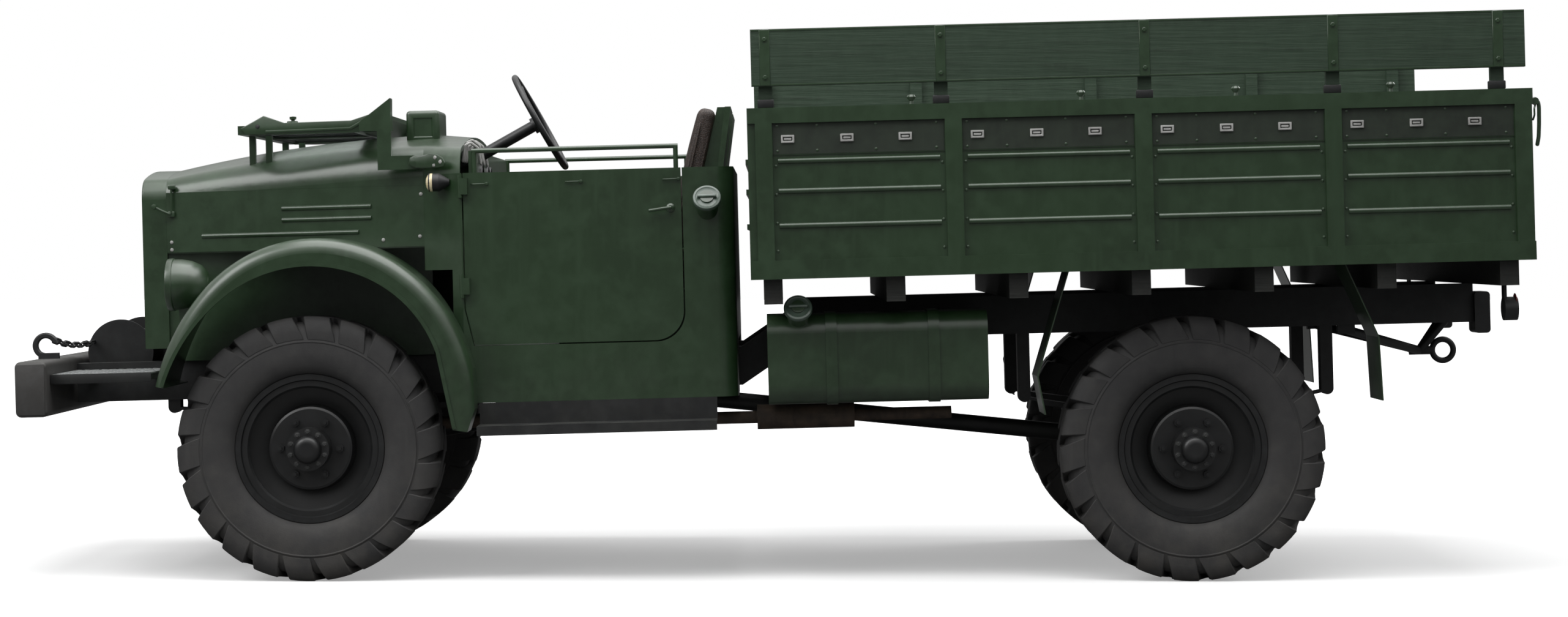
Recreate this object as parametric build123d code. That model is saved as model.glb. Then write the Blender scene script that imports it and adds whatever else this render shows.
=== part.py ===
from build123d import *
import math
import os

# A four-wheel-drive military cargo truck with an open cab and a front winch, in millimetres.
# Front is -X, the driver's side is -Y, +Z is up, and the ground under the truck's middle is the origin.
# The frame, cab and bed stand nose-down on their springs, so they are drawn level and pitched once.

# Stance and wheels
body_pitch = 1.5
wheelbase = 3300.0
front_axle_x = -1745.0
rear_axle_x = front_axle_x + wheelbase
track = 1600.0
tyre_radius = 495.0
tyre_width = 244.0
tyre_wall = 20.0
lug_depth = 20.0
lug_share = 0.7
lug_count = 22
lug_ring_radius = 401.0
bead_radius = 262.0
rim_flange_radius = 278.0
rim_width = 178.0
rim_metal = 8.0
wheel_disc_radius = 236.0
hub_face_radius = 155.0
hub_stand_out = 62.0
drum_radius = 200.0
drum_width = 120.0
dish_depth = 8.0
gutter_radius = 226.0
hub_radius = 80.0
hub_length = 84.0
hub_cap_radius = 52.0
hub_cap_length = 34.0
nut_circle = 222.25
nut_radius = 15.0
nut_height = 18.0
nut_count = 6
nut_side_count = 6
steer_pin_inset = 160.0
steer_pin_y = track / 2 - steer_pin_inset
running_gap = 0.3
seam = 5.0
overrun = 40.0

# Frame
rail_y = 400.0
rail_depth = 150.0
rail_flange = 62.0
rail_metal = 7.0
rail_rear_x = 2728.0
rail_low_top_z = 866.0
rail_top_z = 1036.0
rail_kick_front_x = -112.0
rail_kick_rear_x = 150.0
cross_member_depth = 96.0
cross_member_width = 70.0
cross_member_metal = 7.0

# Nose
bumper_front_x = -2814.0
bumper_thickness = 122.0
bumper_bottom_z = 686.0
bumper_height = 208.0
bumper_half_width = 960.0
bumper_corner = 22.0
tow_hook_y = 620.0
tow_hook_reach = 50.0
tow_hook_tip_lean = 30.0
rail_front_x = bumper_front_x + bumper_thickness
deck_front_x = -2688.0
deck_rear_x = -2316.0
deck_top_z = 842.0
deck_metal = 5.0
deck_lip = 36.0
deck_inner_y = 470.0
deck_outer_y = 900.0
winch_x = -2552.0
winch_z = 902.0
winch_flange_radius = 128.0
winch_drum_radius = 62.0
winch_case_radius = 78.0
winch_case_length = 88.0
winch_drum_half = 230.0
winch_flange_metal = 12.0
link_width = 28.0
link_bar = 7.0
link_count = 9
link_turn = 45.0
chain_sag = 14.0
shell_front_x = -2420.0
shell_rear_x = -2325.0
shell_bottom_z = 916.0
shell_half_width = 432.0
shell_crown_z = 1612.0
shell_shoulder_z = 1560.0
shell_corner = 84.0
shell_metal = 6.0
grille_bar = 10.0
grille_bar_count = 17
radiator_thickness = 70.0

# Bonnet, wings and lamps
hood_rear_x = -1303.0
cowl_flare = 136.0
cab_half_width = 826.0
hood_rear_half_width = cab_half_width - cowl_flare
hood_seam_z = 1518.0
hood_mid_x = -1840.0
hood_mid_shoulder_z = 1620.0
hood_mid_crown_z = 1692.0
hood_rear_shoulder_z = 1650.0
hood_rear_crown_z = 1728.0
hood_rear_corner = 120.0
hood_metal = 4.0
hood_side_bottom_z = 1286.0
wing_front_x = -2292.0
wing_length = 1187.0
wing_bottom_z = 592.0
wing_height = 732.0
wing_stand_out = 164.0
wing_outer_y = cab_half_width + wing_stand_out
wing_metal = 5.0
wing_roll = 55.0
wing_gap = 0.9
wing_lip = 14.0
apron_y = 412.0
lamp_x = -2268.0
lamp_y = 720.0
lamp_z = 1164.0
lamp_radius = 96.0
lamp_length = 150.0
lamp_glass = 8.0
signal_x = -1232.0
signal_z = 1524.0
signal_radius = 34.0
signal_length = 78.0

# Cab
cab_wall = 34.0
cowl_rear_x = -1150.0
cowl_lower_x = -1190.0
cowl_lower_z = 1194.0
cowl_crown_z = 1712.0
cowl_shoulder_z = 1640.0
cab_rear_x = -124.0
cab_bottom_z = 692.0
cab_top_z = 1556.0
cab_corner = 70.0
cab_floor_z = 900.0
cab_floor_metal = 6.0
door_front_x = -1140.0
door_rear_x = -322.0
door_bottom_z = 910.0
door_thickness = 36.0
door_corner = 110.0
door_chamfer_width = 32.0
door_chamfer_height = 134.0
hinge_x = -1150.0
hinge_stand_out = 18.0
hinge_radius = 9.0
hinge_length = 62.0
hinge_top_z = 1506.0
hinge_low_z = 1131.0
hinge_lug = 6.0
grab_rail_z = 1638.0
grab_rail_radius = 9.0
grab_rail_front_x = -1106.0
grab_rail_rear_x = -330.0
dash_x = -1120.0
dash_metal = 22.0
dash_bottom_z = 1380.0
dash_top_z = 1640.0

# Driver's gear and seats
seat_front_x = -800.0
seat_rear_x = -300.0
seat_bottom_z = 1090.0
seat_top_z = 1240.0
seat_half_gap = 90.0
seat_side_gap = 106.0
seat_outer_y = cab_half_width - seat_side_gap
back_front_x = -376.0
back_top_front_x = -246.0
back_thickness = 66.0
back_top_z = 1784.0
back_bottom_z = 1250.0
back_plate_x = -184.0
back_plate_top_x = -150.0
back_plate_thickness = 22.0
back_cheek_thickness = 14.0
wheel_centre_x = -873.0
wheel_centre_y = -380.0
wheel_centre_z = 1755.0
wheel_tilt = 28.0
steering_rim_radius = 198.0
steering_rim_thickness = 12.0
steering_hub_radius = 32.0
steering_spoke_radius = 7.0
column_radius = 22.0
column_length = 486.0

# Windscreen, folded forward on the bonnet
screen_pivot_x = -1328.0
screen_pivot_z = 1604.0
screen_side_gap = 50.0
screen_half_width = hood_rear_half_width - screen_side_gap
screen_tip_x = -2008.0
screen_base_x = -1537.0
screen_bottom_z = 1744.0
screen_depth = 34.0
screen_rail = 36.0
screen_glass_thickness = 6.0
screen_arm_thickness = 20.0
screen_arm_width = 52.0
screen_arm_set_back = 90.0
screen_rest_width = 24.0
screen_rest_shares = (0.03, 0.17)
screen_peak_z = 1850.0

# Steps, tank, exhaust and drive line
board_front_x = -1098.0
board_rear_x = -206.0
board_top_z = 612.0
board_metal = 5.0
board_lip = 36.0
board_width = 155.0
board_inner_y = cab_half_width + 13 * running_gap
board_outer_y = board_inner_y + board_width
tank_front_x = -12.0
tank_length = 820.0
tank_bottom_z = 660.0
tank_height = 334.0
tank_outer_y = 962.0
tank_inner_y = 560.0
tank_corner = 70.0
strap_width = 42.0
strap_metal = 5.0
neck_radius = 40.0
neck_length = 76.0
neck_lean = 58.0
cap_radius = 52.0
cap_height = 16.0
cab_filler_x = -224.0
cab_filler_z = 1392.0
muffler_x = 128.0
muffler_y = -480.0
muffler_z = 594.0
muffler_length = 374.0
muffler_radius = 48.0
pipe_radius = 24.0
engine_front_x = -2236.0
engine_length = 800.0
engine_half_width = 235.0
engine_bottom_z = 760.0
engine_height = 620.0
gearbox_front_x = -1430.0
gearbox_length = 470.0
gearbox_half_width = 150.0
gearbox_bottom_z = 690.0
gearbox_height = 190.0
transfer_front_x = -560.0
transfer_length = 240.0
transfer_half_width = 180.0
transfer_bottom_z = 560.0
transfer_height = 290.0
shaft_radius = 34.0
shaft_flange = 18.0
diff_radius = 170.0
diff_half_width = 110.0
diff_y = 150.0
axle_tube_radius = 48.0
ball_radius = 96.0
knuckle_metal = 22.0
king_pin_radius = 26.0
king_pin_height = 44.0
tie_rod_back = 190.0
tie_rod_in = 30.0
tie_rod_radius = 17.0
tie_rod_eye_radius = 26.0
tie_rod_eye_height = 42.0
spring_half_length = 588.0
spring_leaf = 11.0
spring_leaf_count = 7
spring_width = 64.0
front_spring_rise = 22.0
rear_spring_rise = 64.0
spring_y = 364.0
spring_eye_radius = 24.0
spring_plate = 14.0

# Bed
bed_front_x = -66.0
bed_rear_x = 2822.0
bed_half_width = 1100.0
bed_floor_z = 1168.0
bed_floor_thickness = 38.0
bed_wall = 46.0
bed_bottom_z = 1129.0
bed_lower_rail_height = 69.0
bed_top_z = 1760.0
bed_top_rail_height = 57.0
bed_rail_stand_out = 16.0
post_width = 62.0
post_count = 5
post_first_x = -37.0
post_pitch = 698.0
rib_height = 20.0
rib_stand_out = 9.0
bed_rib_shares = (0.31, 0.513, 0.688)
strip_height = 118.0
strip_metal = 4.0
loop_shares = (0.09, 0.433, 0.77)
loop_length = 46.0
loop_height = 26.0
loop_bar = 6.0
sill_depth = 93.0
sill_width = 70.0
sill_count = 7
gate_thickness = 40.0
gate_hinge_x = 2838.0
gate_hinge_z = 1150.0
gate_hinge_radius = 10.0
upper_board_bottom_z = 1840.0
upper_board_height = 210.0
upper_board_thickness = 28.0
stanchion_width = 50.0
stanchion_thickness = 24.0

# Rear end
flap_metal = 5.0
flap_inner_y = 680.0
flap_outer_y = 940.0
hook_x = 2684.0
hook_z = 766.0
hook_ring_radius = 42.0
hook_ring_bar = 12.0
hitch_front_x = 2236.0
hitch_rear_x = 2590.0
hitch_radius = 34.0
buffer_x = 2728.0
buffer_depth = 60.0
buffer_bottom_z = 843.0
buffer_height = 161.0
buffer_half_width = 60.0
tail_lamp_radius = 44.0
tail_lamp_depth = 50.0


def block(x0, x1, y0, y1, z0, z1):
    """A block between two corners."""
    centre = Pos((x0 + x1) / 2, (y0 + y1) / 2, (z0 + z1) / 2)
    return centre * Box(x1 - x0, y1 - y0, z1 - z0)


def bar(start, end, radius, bore=0):
    """A round bar, or a tube, between two points."""
    a, b = Vector(*start), Vector(*end)
    plane = Plane(origin=a, z_dir=(b - a).normalized())
    solid = extrude(plane * Circle(radius), (b - a).length)
    if bore:
        solid -= extrude(plane * Circle(bore), (b - a).length)
    return solid


def slab(sketch, y0, y1):
    """A plate whose outline is drawn in the side view, from y0 to y1."""
    return extrude(Pos(0, y1, 0) * (Plane.XZ * sketch), y1 - y0)


def outline(*points):
    """A closed outline of straight lines."""
    return make_face(Polyline(*points, close=True))


def pair(shape):
    """A piece and its mirror image on the other side of the truck."""
    return shape + mirror(shape, about=Plane.XZ)


def to_sprung(x, z):
    """A place on the ground frame, given in the pitched body's level frame."""
    turn = math.radians(body_pitch)
    return x * math.cos(turn) + z * math.sin(turn), z * math.cos(turn) - x * math.sin(turn)


front_seat_x, front_seat_z = to_sprung(front_axle_x, tyre_radius)
rear_seat_x, rear_seat_z = to_sprung(rear_axle_x, tyre_radius)


def frame_rail():
    """One channel rail, with its kick-up behind the cab and tapered ends."""
    low, high = rail_low_top_z, rail_top_z
    side = outline(
        (rail_front_x, low),
        (rail_kick_front_x, low),
        (rail_kick_rear_x, high),
        (rail_rear_x, high),
        (rail_rear_x, high - rail_depth),
        (rail_kick_rear_x, high - rail_depth),
        (rail_kick_front_x, low - rail_depth),
        (rail_front_x, low - rail_depth),
    )
    hollow = offset(side, -rail_metal, kind=Kind.INTERSECTION)
    body = slab(side, -rail_y, rail_flange - rail_y)
    return body - slab(hollow, rail_metal - rail_y, rail_flange - rail_y)


def cross_member(x, top_z):
    """A channel across the frame, open to the front, between the two webs."""
    reach = rail_y - rail_metal
    low = top_z - cross_member_depth
    whole = block(x, x + cross_member_width, -reach, reach, low, top_z)
    metal = cross_member_metal
    room = block(x, x + cross_member_width - metal, -reach, reach, low + metal, top_z - metal)
    return whole - room


def chassis_frame():
    """Both rails and the members across them."""
    body = pair(frame_rail())
    inset = rail_depth / 2 - cross_member_depth / 2
    low_places = (winch_x - winch_flange_radius * 0.8, winch_x + winch_flange_radius * 0.25,
                  shell_rear_x, transfer_front_x + transfer_length + overrun)
    for x in low_places:
        body += cross_member(x, rail_low_top_z - inset)
    high_places = (rail_kick_rear_x + overrun, rear_seat_x - spring_half_length - overrun,
                   hitch_front_x, rail_rear_x - cross_member_width)
    for x in high_places:
        body += cross_member(x, rail_top_z - inset)
    return body


def front_bumper():
    """A deep box bumper with rounded edges."""
    top = bumper_bottom_z + bumper_height
    body = block(bumper_front_x, bumper_front_x + bumper_thickness, -bumper_half_width, bumper_half_width,
                 bumper_bottom_z, top)
    return fillet(body.edges(), bumper_corner)


def front_decks():
    """The tread plates between the bumper and the wings, with turned-down lips, on brackets off the rails."""
    plate = block(deck_front_x, deck_rear_x, -deck_outer_y, -deck_inner_y, deck_top_z - deck_metal, deck_top_z)
    for y0, y1 in ((-deck_outer_y, deck_metal - deck_outer_y), (-deck_inner_y - deck_metal, -deck_inner_y)):
        plate += block(deck_front_x, deck_rear_x, y0, y1, deck_top_z - deck_lip, deck_top_z)
    for x in (deck_front_x + overrun, deck_rear_x - overrun - strap_width):
        plate += block(x, x + strap_width, -deck_outer_y, -rail_y,
                       deck_top_z - deck_lip, deck_top_z - deck_metal)
    return pair(plate)


def winch():
    """The winch: rope drum between two cheeks, gear case and cross bed on the rails."""
    half, plate = winch_drum_half, winch_flange_metal
    member_top = rail_low_top_z - rail_depth / 2 + cross_member_depth / 2
    body = bar((winch_x, -half, winch_z), (winch_x, half, winch_z), winch_drum_radius)
    for side in (-1, 1):
        near = side * half
        body += bar((winch_x, near, winch_z), (winch_x, near + side * plate, winch_z), winch_flange_radius)
        foot = block(winch_x - winch_flange_radius * 0.7, winch_x + winch_flange_radius * 0.7,
                     min(near, near + side * plate), max(near, near + side * plate), member_top, winch_z)
        body += foot
    case_end = half + plate + winch_case_length
    body += bar((winch_x, half + plate, winch_z), (winch_x, case_end, winch_z), winch_case_radius)
    below = block(winch_x - 2 * winch_flange_radius, winch_x + 2 * winch_flange_radius, -rail_y, rail_y,
                  winch_z - 2 * winch_flange_radius, member_top)
    return body - below


def tow_hook_centre():
    """The middle of the driver's side hook's curl."""
    return Vector(bumper_front_x + tow_hook_reach, -tow_hook_y, bumper_bottom_z + bumper_height + tow_hook_reach)


def tow_hooks():
    """Two horn-shaped hooks on top of the bumper, open to the rear, with the chain on the driver's."""
    thick = bumper_corner / 2
    centre = tow_hook_centre()
    x, y, z = centre.X, centre.Y, centre.Z
    low = z - tow_hook_reach
    foot = block(bumper_front_x + bumper_corner, bumper_front_x + bumper_thickness - bumper_corner, y - thick,
                 y + thick, low, low + 2 * thick)
    ring = Circle(tow_hook_reach) - Circle(tow_hook_reach - 2 * thick)
    curl = extrude(Plane(origin=centre, z_dir=(0, 1, 0)) * ring, thick, both=True)
    curl = chamfer(curl.edges().filter_by(GeomType.CIRCLE), thick / 2)
    gap = block(x, x + 2 * tow_hook_reach, y - 2 * thick, y + 2 * thick, low + 2 * thick, z + thick)
    return pair(foot + (curl - gap)) + winch_chain()


def chain_link(start, end, turn):
    """One link between two places on the chain, turned about its length."""
    length = (end - start).length + 2 * link_bar + running_gap
    rim = Rectangle(length, link_width)
    shape = chamfer(rim.vertices(), link_bar) - Rectangle(length - 2 * link_bar, link_width - 2 * link_bar)
    along = Plane(origin=(start + end) / 2, x_dir=end - start, z_dir=(end - start).cross(Vector(0, 0, 1)))
    return along * Rot(turn, 0, 0) * extrude(shape, link_bar / 2, both=True)


def winch_chain():
    """The chain that hangs from the driver's side hook's tip to the winch's near cheek."""
    ring = tow_hook_reach - bumper_corner / 2
    lean = math.radians(tow_hook_tip_lean)
    tip = tow_hook_centre() + Vector(ring * math.cos(lean), 0, ring * math.sin(lean))
    cheek_y = -winch_drum_half - winch_flange_metal - link_width
    seat = Vector(winch_x - winch_flange_radius * 0.8, cheek_y, winch_z + winch_flange_radius / 3)
    shares = [number / link_count for number in range(link_count + 1)]
    places = [tip + (seat - tip) * share - Vector(0, 0, 4 * chain_sag * share * (1 - share)) for share in shares]
    body = Part()
    for number, (start, end) in enumerate(zip(places, places[1:])):
        body += chain_link(start, end, link_turn * (1 + 2 * (number % 2)))
    end_bar = bar(tuple(seat), (seat.X, cheek_y + link_width - running_gap, seat.Z), link_bar)
    return body + end_bar


def hood_section(x, half_width, base_z, shoulder_z, crown_z, corner, inset):
    """The closed outline of the bonnet across the truck, at one place along it."""
    w = half_width - inset
    s = shoulder_z - inset
    line = Polyline((w, s), (w, base_z), (-w, base_z), (-w, s))
    crown = ThreePointArc((-w, s), (0, crown_z - inset), (w, s))
    face = make_face(line + crown)
    shoulders = face.vertices().filter_by(lambda v: abs(v.Y - s) < inset + running_gap)
    return Pos(x, 0, 0) * (Plane.YZ * fillet(shoulders, corner))


def hood_block(inset):
    """The solid under the bonnet's skin, drawn in by inset, down to the side panels' foot."""
    base_z = hood_side_bottom_z
    front = hood_section(shell_rear_x, shell_half_width, base_z, shell_shoulder_z,
                         shell_crown_z, shell_corner, inset)
    middle = hood_section(hood_mid_x, hood_side_y(hood_mid_x), base_z, hood_mid_shoulder_z,
                          hood_mid_crown_z, hood_rear_corner, inset)
    rear = hood_section(hood_rear_x, hood_rear_half_width, base_z, hood_rear_shoulder_z,
                        hood_rear_crown_z, hood_rear_corner, inset)
    return loft([front, middle, rear])


def hood_top():
    """The bonnet's lid, from its side seams up."""
    below = block(shell_front_x, cowl_rear_x, -cab_half_width, cab_half_width, hood_side_bottom_z - overrun,
                  hood_seam_z)
    return hood_block(0) + pair(screen_rests()) - hood_block(hood_metal) - below


def hood_side_y(x):
    """How far out the bonnet's side stands at one place along it."""
    share = (x - shell_rear_x) / (hood_rear_x - shell_rear_x)
    return shell_half_width + share * (hood_rear_half_width - shell_half_width)


def hood_sides():
    """The side panels below the seam, with their pressed ribs."""
    t = hood_metal
    z0, z1 = hood_side_bottom_z, hood_seam_z - running_gap
    plan = outline((shell_rear_x, -shell_half_width), (hood_rear_x, -hood_rear_half_width),
                   (hood_rear_x, t - hood_rear_half_width), (shell_rear_x, t - shell_half_width))
    panel = extrude(Pos(0, 0, z0) * plan, z1 - z0)
    rib_shares = ((0.455, 0.80, 0.68), (0.455, 0.80, 0.49), (0.14, 0.75, 0.26))
    length = hood_rear_x - shell_rear_x
    for start_share, end_share, height_share in rib_shares:
        x0 = shell_rear_x + start_share * length
        x1 = shell_rear_x + end_share * length
        z = z0 + height_share * (z1 - z0)
        panel += bar((x0, t / 2 - hood_side_y(x0), z), (x1, t / 2 - hood_side_y(x1), z), rib_stand_out)
    return pair(panel)


def wing_point(share):
    """A place on the wing's side view."""
    return wing_front_x + share[0] * wing_length, wing_bottom_z + share[1] * wing_height


def wing_outline(inset=0):
    """The wing's side view down to a chord between its ends, drawn in by inset."""
    outer_shares = ((0.0, 0.27), (0.074, 0.59), (0.161, 0.76), (0.448, 0.997), (0.73, 0.907),
                    (0.905, 0.66), (0.996, 0.321), (1.0, 0.113), (0.977, 0.0))
    p = [wing_point(share) for share in outer_shares]
    crown = ThreePointArc(p[2], p[3], p[4])
    curve = TangentArc(p[2], p[0], tangent=-(crown % 0)) + crown + TangentArc(p[4], p[6], tangent=crown % 1)
    curve += Polyline(p[6], p[7], p[8], p[0])
    face = make_face(curve)
    return offset(face, -inset, kind=Kind.INTERSECTION) if inset else face


def wing_arch(grow=0):
    """The wheel opening in the wing's outer face, widened by grow."""
    inner_shares = ((0.02, 0.20), (0.11, 0.49), (0.232, 0.72), (0.446, 0.857), (0.657, 0.807),
                    (0.80, 0.639), (0.885, 0.407), (0.94, -0.06))
    p = [wing_point(share) for share in inner_shares]
    crown = ThreePointArc(p[2], p[3], p[4])
    curve = TangentArc(p[2], p[0], tangent=-(crown % 0)) + crown + TangentArc(p[4], p[6], tangent=crown % 1)
    curve += Polyline(p[6], p[7], p[0])
    face = make_face(curve)
    return offset(face, grow, kind=Kind.INTERSECTION) if grow else face


def wing():
    """One front wing: a rolled skin over the wheel, open below and towards the engine."""
    inner_y = shell_half_width
    body = slab(wing_outline(), -wing_outer_y, -inner_y)
    outer_face = body.faces().sort_by(Axis.Y)[0]
    rolled = fillet(outer_face.edges().filter_by(lambda e: e.center().Z > wing_bottom_z + wing_height / 4),
                    wing_roll)
    room = slab(wing_outline(wing_metal), wing_metal - wing_outer_y, -inner_y)
    room_face = room.faces().sort_by(Axis.Y)[0]
    room = fillet(room_face.edges().filter_by(lambda e: e.center().Z > wing_bottom_z + wing_height / 4),
                  wing_roll - wing_metal)
    chord_cut = slab(wing_arch(), -wing_outer_y - overrun, -inner_y + overrun)
    bonnet = outline((shell_front_x, 0), (shell_front_x, -shell_half_width - wing_gap),
                     (shell_rear_x, -shell_half_width - wing_gap),
                     (hood_rear_x, -hood_rear_half_width - wing_gap),
                     (cowl_rear_x, -cab_half_width - wing_gap),
                     (cab_rear_x, -cab_half_width - wing_gap), (cab_rear_x, 0))
    tall = wing_bottom_z + 2 * wing_height
    skin = rolled - room - chord_cut - extrude(bonnet, tall)
    bead = slab(wing_arch(wing_lip), -wing_outer_y - wing_metal, wing_metal - wing_outer_y)
    return skin + (bead & slab(wing_outline(wing_metal), -wing_outer_y - overrun, -inner_y)) - chord_cut


def wings():
    """Both front wings."""
    return pair(wing())


def aprons():
    """The upright splash plates between the frame and the bonnet's sills, with the sills themselves."""
    t = hood_metal
    gap = running_gap
    z1 = hood_side_bottom_z - gap
    wall = block(shell_rear_x + gap, hood_rear_x - gap, -apron_y - t, -apron_y, rail_low_top_z, z1)
    ledge = outline((shell_rear_x + gap, -apron_y), (hood_rear_x - gap, -apron_y),
                    (hood_rear_x - gap, t - hood_rear_half_width), (shell_rear_x + gap, t - shell_half_width))
    return pair(wall + extrude(Pos(0, 0, z1 - t) * ledge, t))


def shell_profile(inset):
    """The radiator shell seen from the front."""
    return hood_section(0, shell_half_width, shell_bottom_z + inset, shell_shoulder_z, shell_crown_z,
                        shell_corner, inset)


def radiator_shell():
    """The radiator's surround: a deep frame, open at the front for the grille."""
    depth = shell_rear_x - running_gap - shell_front_x
    whole = Pos(shell_front_x, 0, 0) * extrude(shell_profile(0), depth)
    whole = fillet(whole.faces().sort_by(Axis.X)[0].edges(), shell_metal)
    room = Pos(shell_front_x, 0, 0) * extrude(shell_profile(shell_metal * 5), depth)
    return whole - room


def grille():
    """Upright bars in the radiator shell, tied by two cross bars."""
    inset = shell_metal * 5 + running_gap
    w = shell_half_width - inset
    x0 = shell_front_x + grille_bar
    z0, z1 = shell_bottom_z + inset, shell_shoulder_z - inset - shell_corner
    body = block(x0 + grille_bar, x0 + 2 * grille_bar, -w, w, z0, z0 + 2 * grille_bar)
    body += block(x0 + grille_bar, x0 + 2 * grille_bar, -w, w, z1 - 2 * grille_bar, z1)
    pitch = 2 * w / (grille_bar_count + 1)
    for number in range(1, grille_bar_count + 1):
        y = number * pitch - w
        body += block(x0, x0 + grille_bar, y - grille_bar / 2, y + grille_bar / 2, z0, shell_crown_z)
    return body & (Pos(x0, 0, 0) * extrude(shell_profile(inset), 2 * grille_bar))


def radiator():
    """The radiator's core and tanks, behind the grille, on the frame's front member."""
    inset = shell_metal * 6
    w = apron_y - 2 * inset
    x0, x1 = shell_rear_x, shell_rear_x + radiator_thickness
    core = block(x0, x1, -w, w, shell_bottom_z + inset, hood_seam_z)
    member_top = rail_low_top_z - rail_depth / 2 + cross_member_depth / 2
    foot = rail_y - rail_flange - seam
    return core + block(x0, x1 - radiator_thickness / 2, -foot, foot, member_top, shell_bottom_z + inset)


def headlamps():
    """The headlamp buckets on the wings, tapering back."""
    r = lamp_radius
    tail = lamp_radius / 3
    profile = outline((0, 0), (0, r), (lamp_length / 6, r), (lamp_length, tail), (lamp_length, 0))
    bucket = revolve(profile, Axis.X)
    room = revolve(outline((0, 0), (0, r - wing_metal), (lamp_length / 6, r - wing_metal),
                           (lamp_length - overrun, 0)), Axis.X)
    foot = block(lamp_length / 4, lamp_length / 2, -r / 4, r / 4, -r * 1.5, -r / 2)
    lamp = Pos(lamp_x, -lamp_y, lamp_z) * ((bucket + foot) - room)
    return pair(lamp - slab(wing_outline(-running_gap), -wing_outer_y, -shell_half_width))


def headlamp_lenses():
    """The lamp glasses, set in the buckets' rims."""
    r = lamp_radius - wing_metal - running_gap
    glass = Rot(0, 90, 0) * Cylinder(r, lamp_glass)
    return pair(Pos(lamp_x + lamp_glass, -lamp_y, lamp_z) * glass)


def turn_signals():
    """The round-backed signal lamps on the cowl's sides."""
    profile = outline((0, 0), (0, signal_radius), (signal_length / 2, signal_radius),
                      (signal_length, signal_radius / 3), (signal_length, 0))
    share = (signal_x - hood_rear_x) / (cowl_rear_x - hood_rear_x)
    wall_y = hood_rear_half_width + share * (cab_half_width - hood_rear_half_width)
    y = wall_y + signal_radius
    lamp = Pos(signal_x - signal_length / 2, -y, signal_z) * revolve(profile, Axis.X)
    return pair(lamp - extrude(cab_plan(-running_gap), 2 * signal_z))


def cab_plan(inset):
    """The cab seen from above, with its flared cowl and rounded rear corners."""
    w, n = cab_half_width, hood_rear_half_width
    half = ((hood_rear_x, n), (cowl_rear_x, w), (cab_rear_x, w))
    points = [(x, -y) for x, y in half] + [(x, y) for x, y in reversed(half)]
    face = outline(*points)
    corners = face.vertices().filter_by(lambda v: v.X > cab_rear_x - running_gap)
    face = fillet(corners, cab_corner)
    return offset(face, -inset, kind=Kind.INTERSECTION) if inset else face


def cowl_block(inset):
    """The rounded top of the cowl between the bonnet and the doors, drawn in by inset."""
    base_z = cab_top_z - hood_rear_corner
    front = hood_section(hood_rear_x, hood_rear_half_width, base_z, hood_rear_shoulder_z,
                         hood_rear_crown_z, hood_rear_corner, inset)
    rear = hood_section(cowl_rear_x, cab_half_width, base_z, cowl_shoulder_z,
                        cowl_crown_z, hood_rear_corner, inset)
    return loft([front, rear])


def cab_tub():
    """The cab's body: cowl, sills, quarter panels, rear wall, bulkhead and floor."""
    height = cab_top_z - cab_bottom_z
    body = extrude(Pos(0, 0, cab_bottom_z) * cab_plan(0), height) + cowl_block(0)
    room = extrude(Pos(0, 0, cab_bottom_z - overrun) * cab_plan(cab_wall), height + 2 * overrun)
    body -= room
    above = block(hood_rear_x + cab_wall, cowl_rear_x + overrun, -cab_half_width, cab_half_width,
                  cab_top_z - seam, cowl_crown_z + overrun)
    body -= cowl_block(cab_wall / 2) & above
    low = block(hood_rear_x - overrun, cowl_lower_x, -cab_half_width - overrun, cab_half_width + overrun,
                cab_bottom_z - overrun, cowl_lower_z)
    rail_room = block(hood_rear_x - overrun, cab_rear_x + overrun, -rail_y - seam, rail_y + seam,
                      cab_bottom_z - overrun, cab_floor_z - cab_floor_metal)
    body -= low + rail_room
    inner = cab_half_width - cab_wall
    body += block(cowl_lower_x, cab_rear_x - cab_wall, -inner, inner, cab_floor_z - cab_floor_metal, cab_floor_z)
    body += block(cowl_lower_x, cowl_lower_x + cab_floor_metal, -inner, inner, cab_floor_z, cowl_lower_z)
    toe = cowl_plan_wedge()
    body += extrude(Pos(0, 0, cowl_lower_z) * toe, cab_floor_metal)
    opening = door_outline(seam)
    for y0 in (-cab_half_width - overrun, cab_half_width - cab_wall - overrun):
        body -= slab(opening, y0, y0 + cab_wall + 2 * overrun)
    body += filler((cab_filler_x, cab_wall / 2 - cab_half_width, cab_filler_z))
    return body + pair(screen_bracket() + door_lugs()) - column_passage()


def screen_bracket():
    """The ear beside the bonnet that carries the windscreen's pivot."""
    r = screen_arm_width / 2
    outer = hood_rear_half_width + seam - running_gap
    inner = outer - hinge_lug
    ear = block(screen_pivot_x, hood_rear_x + cab_wall, -outer, -inner, screen_pivot_z - r, screen_pivot_z + r)
    return ear + bar((screen_pivot_x, -outer, screen_pivot_z), (screen_pivot_x, -inner, screen_pivot_z), r)


def door_lugs():
    """The fixed halves of the door hinges, above and below each barrel."""
    body = Part()
    y = -cab_half_width - hinge_stand_out
    for z in (hinge_top_z, hinge_low_z):
        for way in (-1, 1):
            near = z + way * (hinge_length / 2 + running_gap)
            far = near + way * hinge_lug * 2
            low, high = min(near, far), max(near, far)
            body += bar((hinge_x, y, low), (hinge_x, y, high), hinge_radius)
            body += block(hinge_x - hinge_radius, hinge_x, y, cab_wall / 2 - cab_half_width, low, high)
    return body


def cowl_plan_wedge():
    """The shelf over the driver's toes, as wide as the cowl's inside."""
    x0, x1 = hood_rear_x + cab_wall, cowl_lower_x + cab_floor_metal
    flare = (cab_half_width - hood_rear_half_width) / (cowl_rear_x - hood_rear_x)
    y0 = hood_rear_half_width + flare * (x0 - hood_rear_x) - cab_wall
    y1 = hood_rear_half_width + flare * (x1 - hood_rear_x) - cab_wall
    return outline((x0, -y0), (x1, -y1), (x1, y1), (x0, y0))


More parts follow.
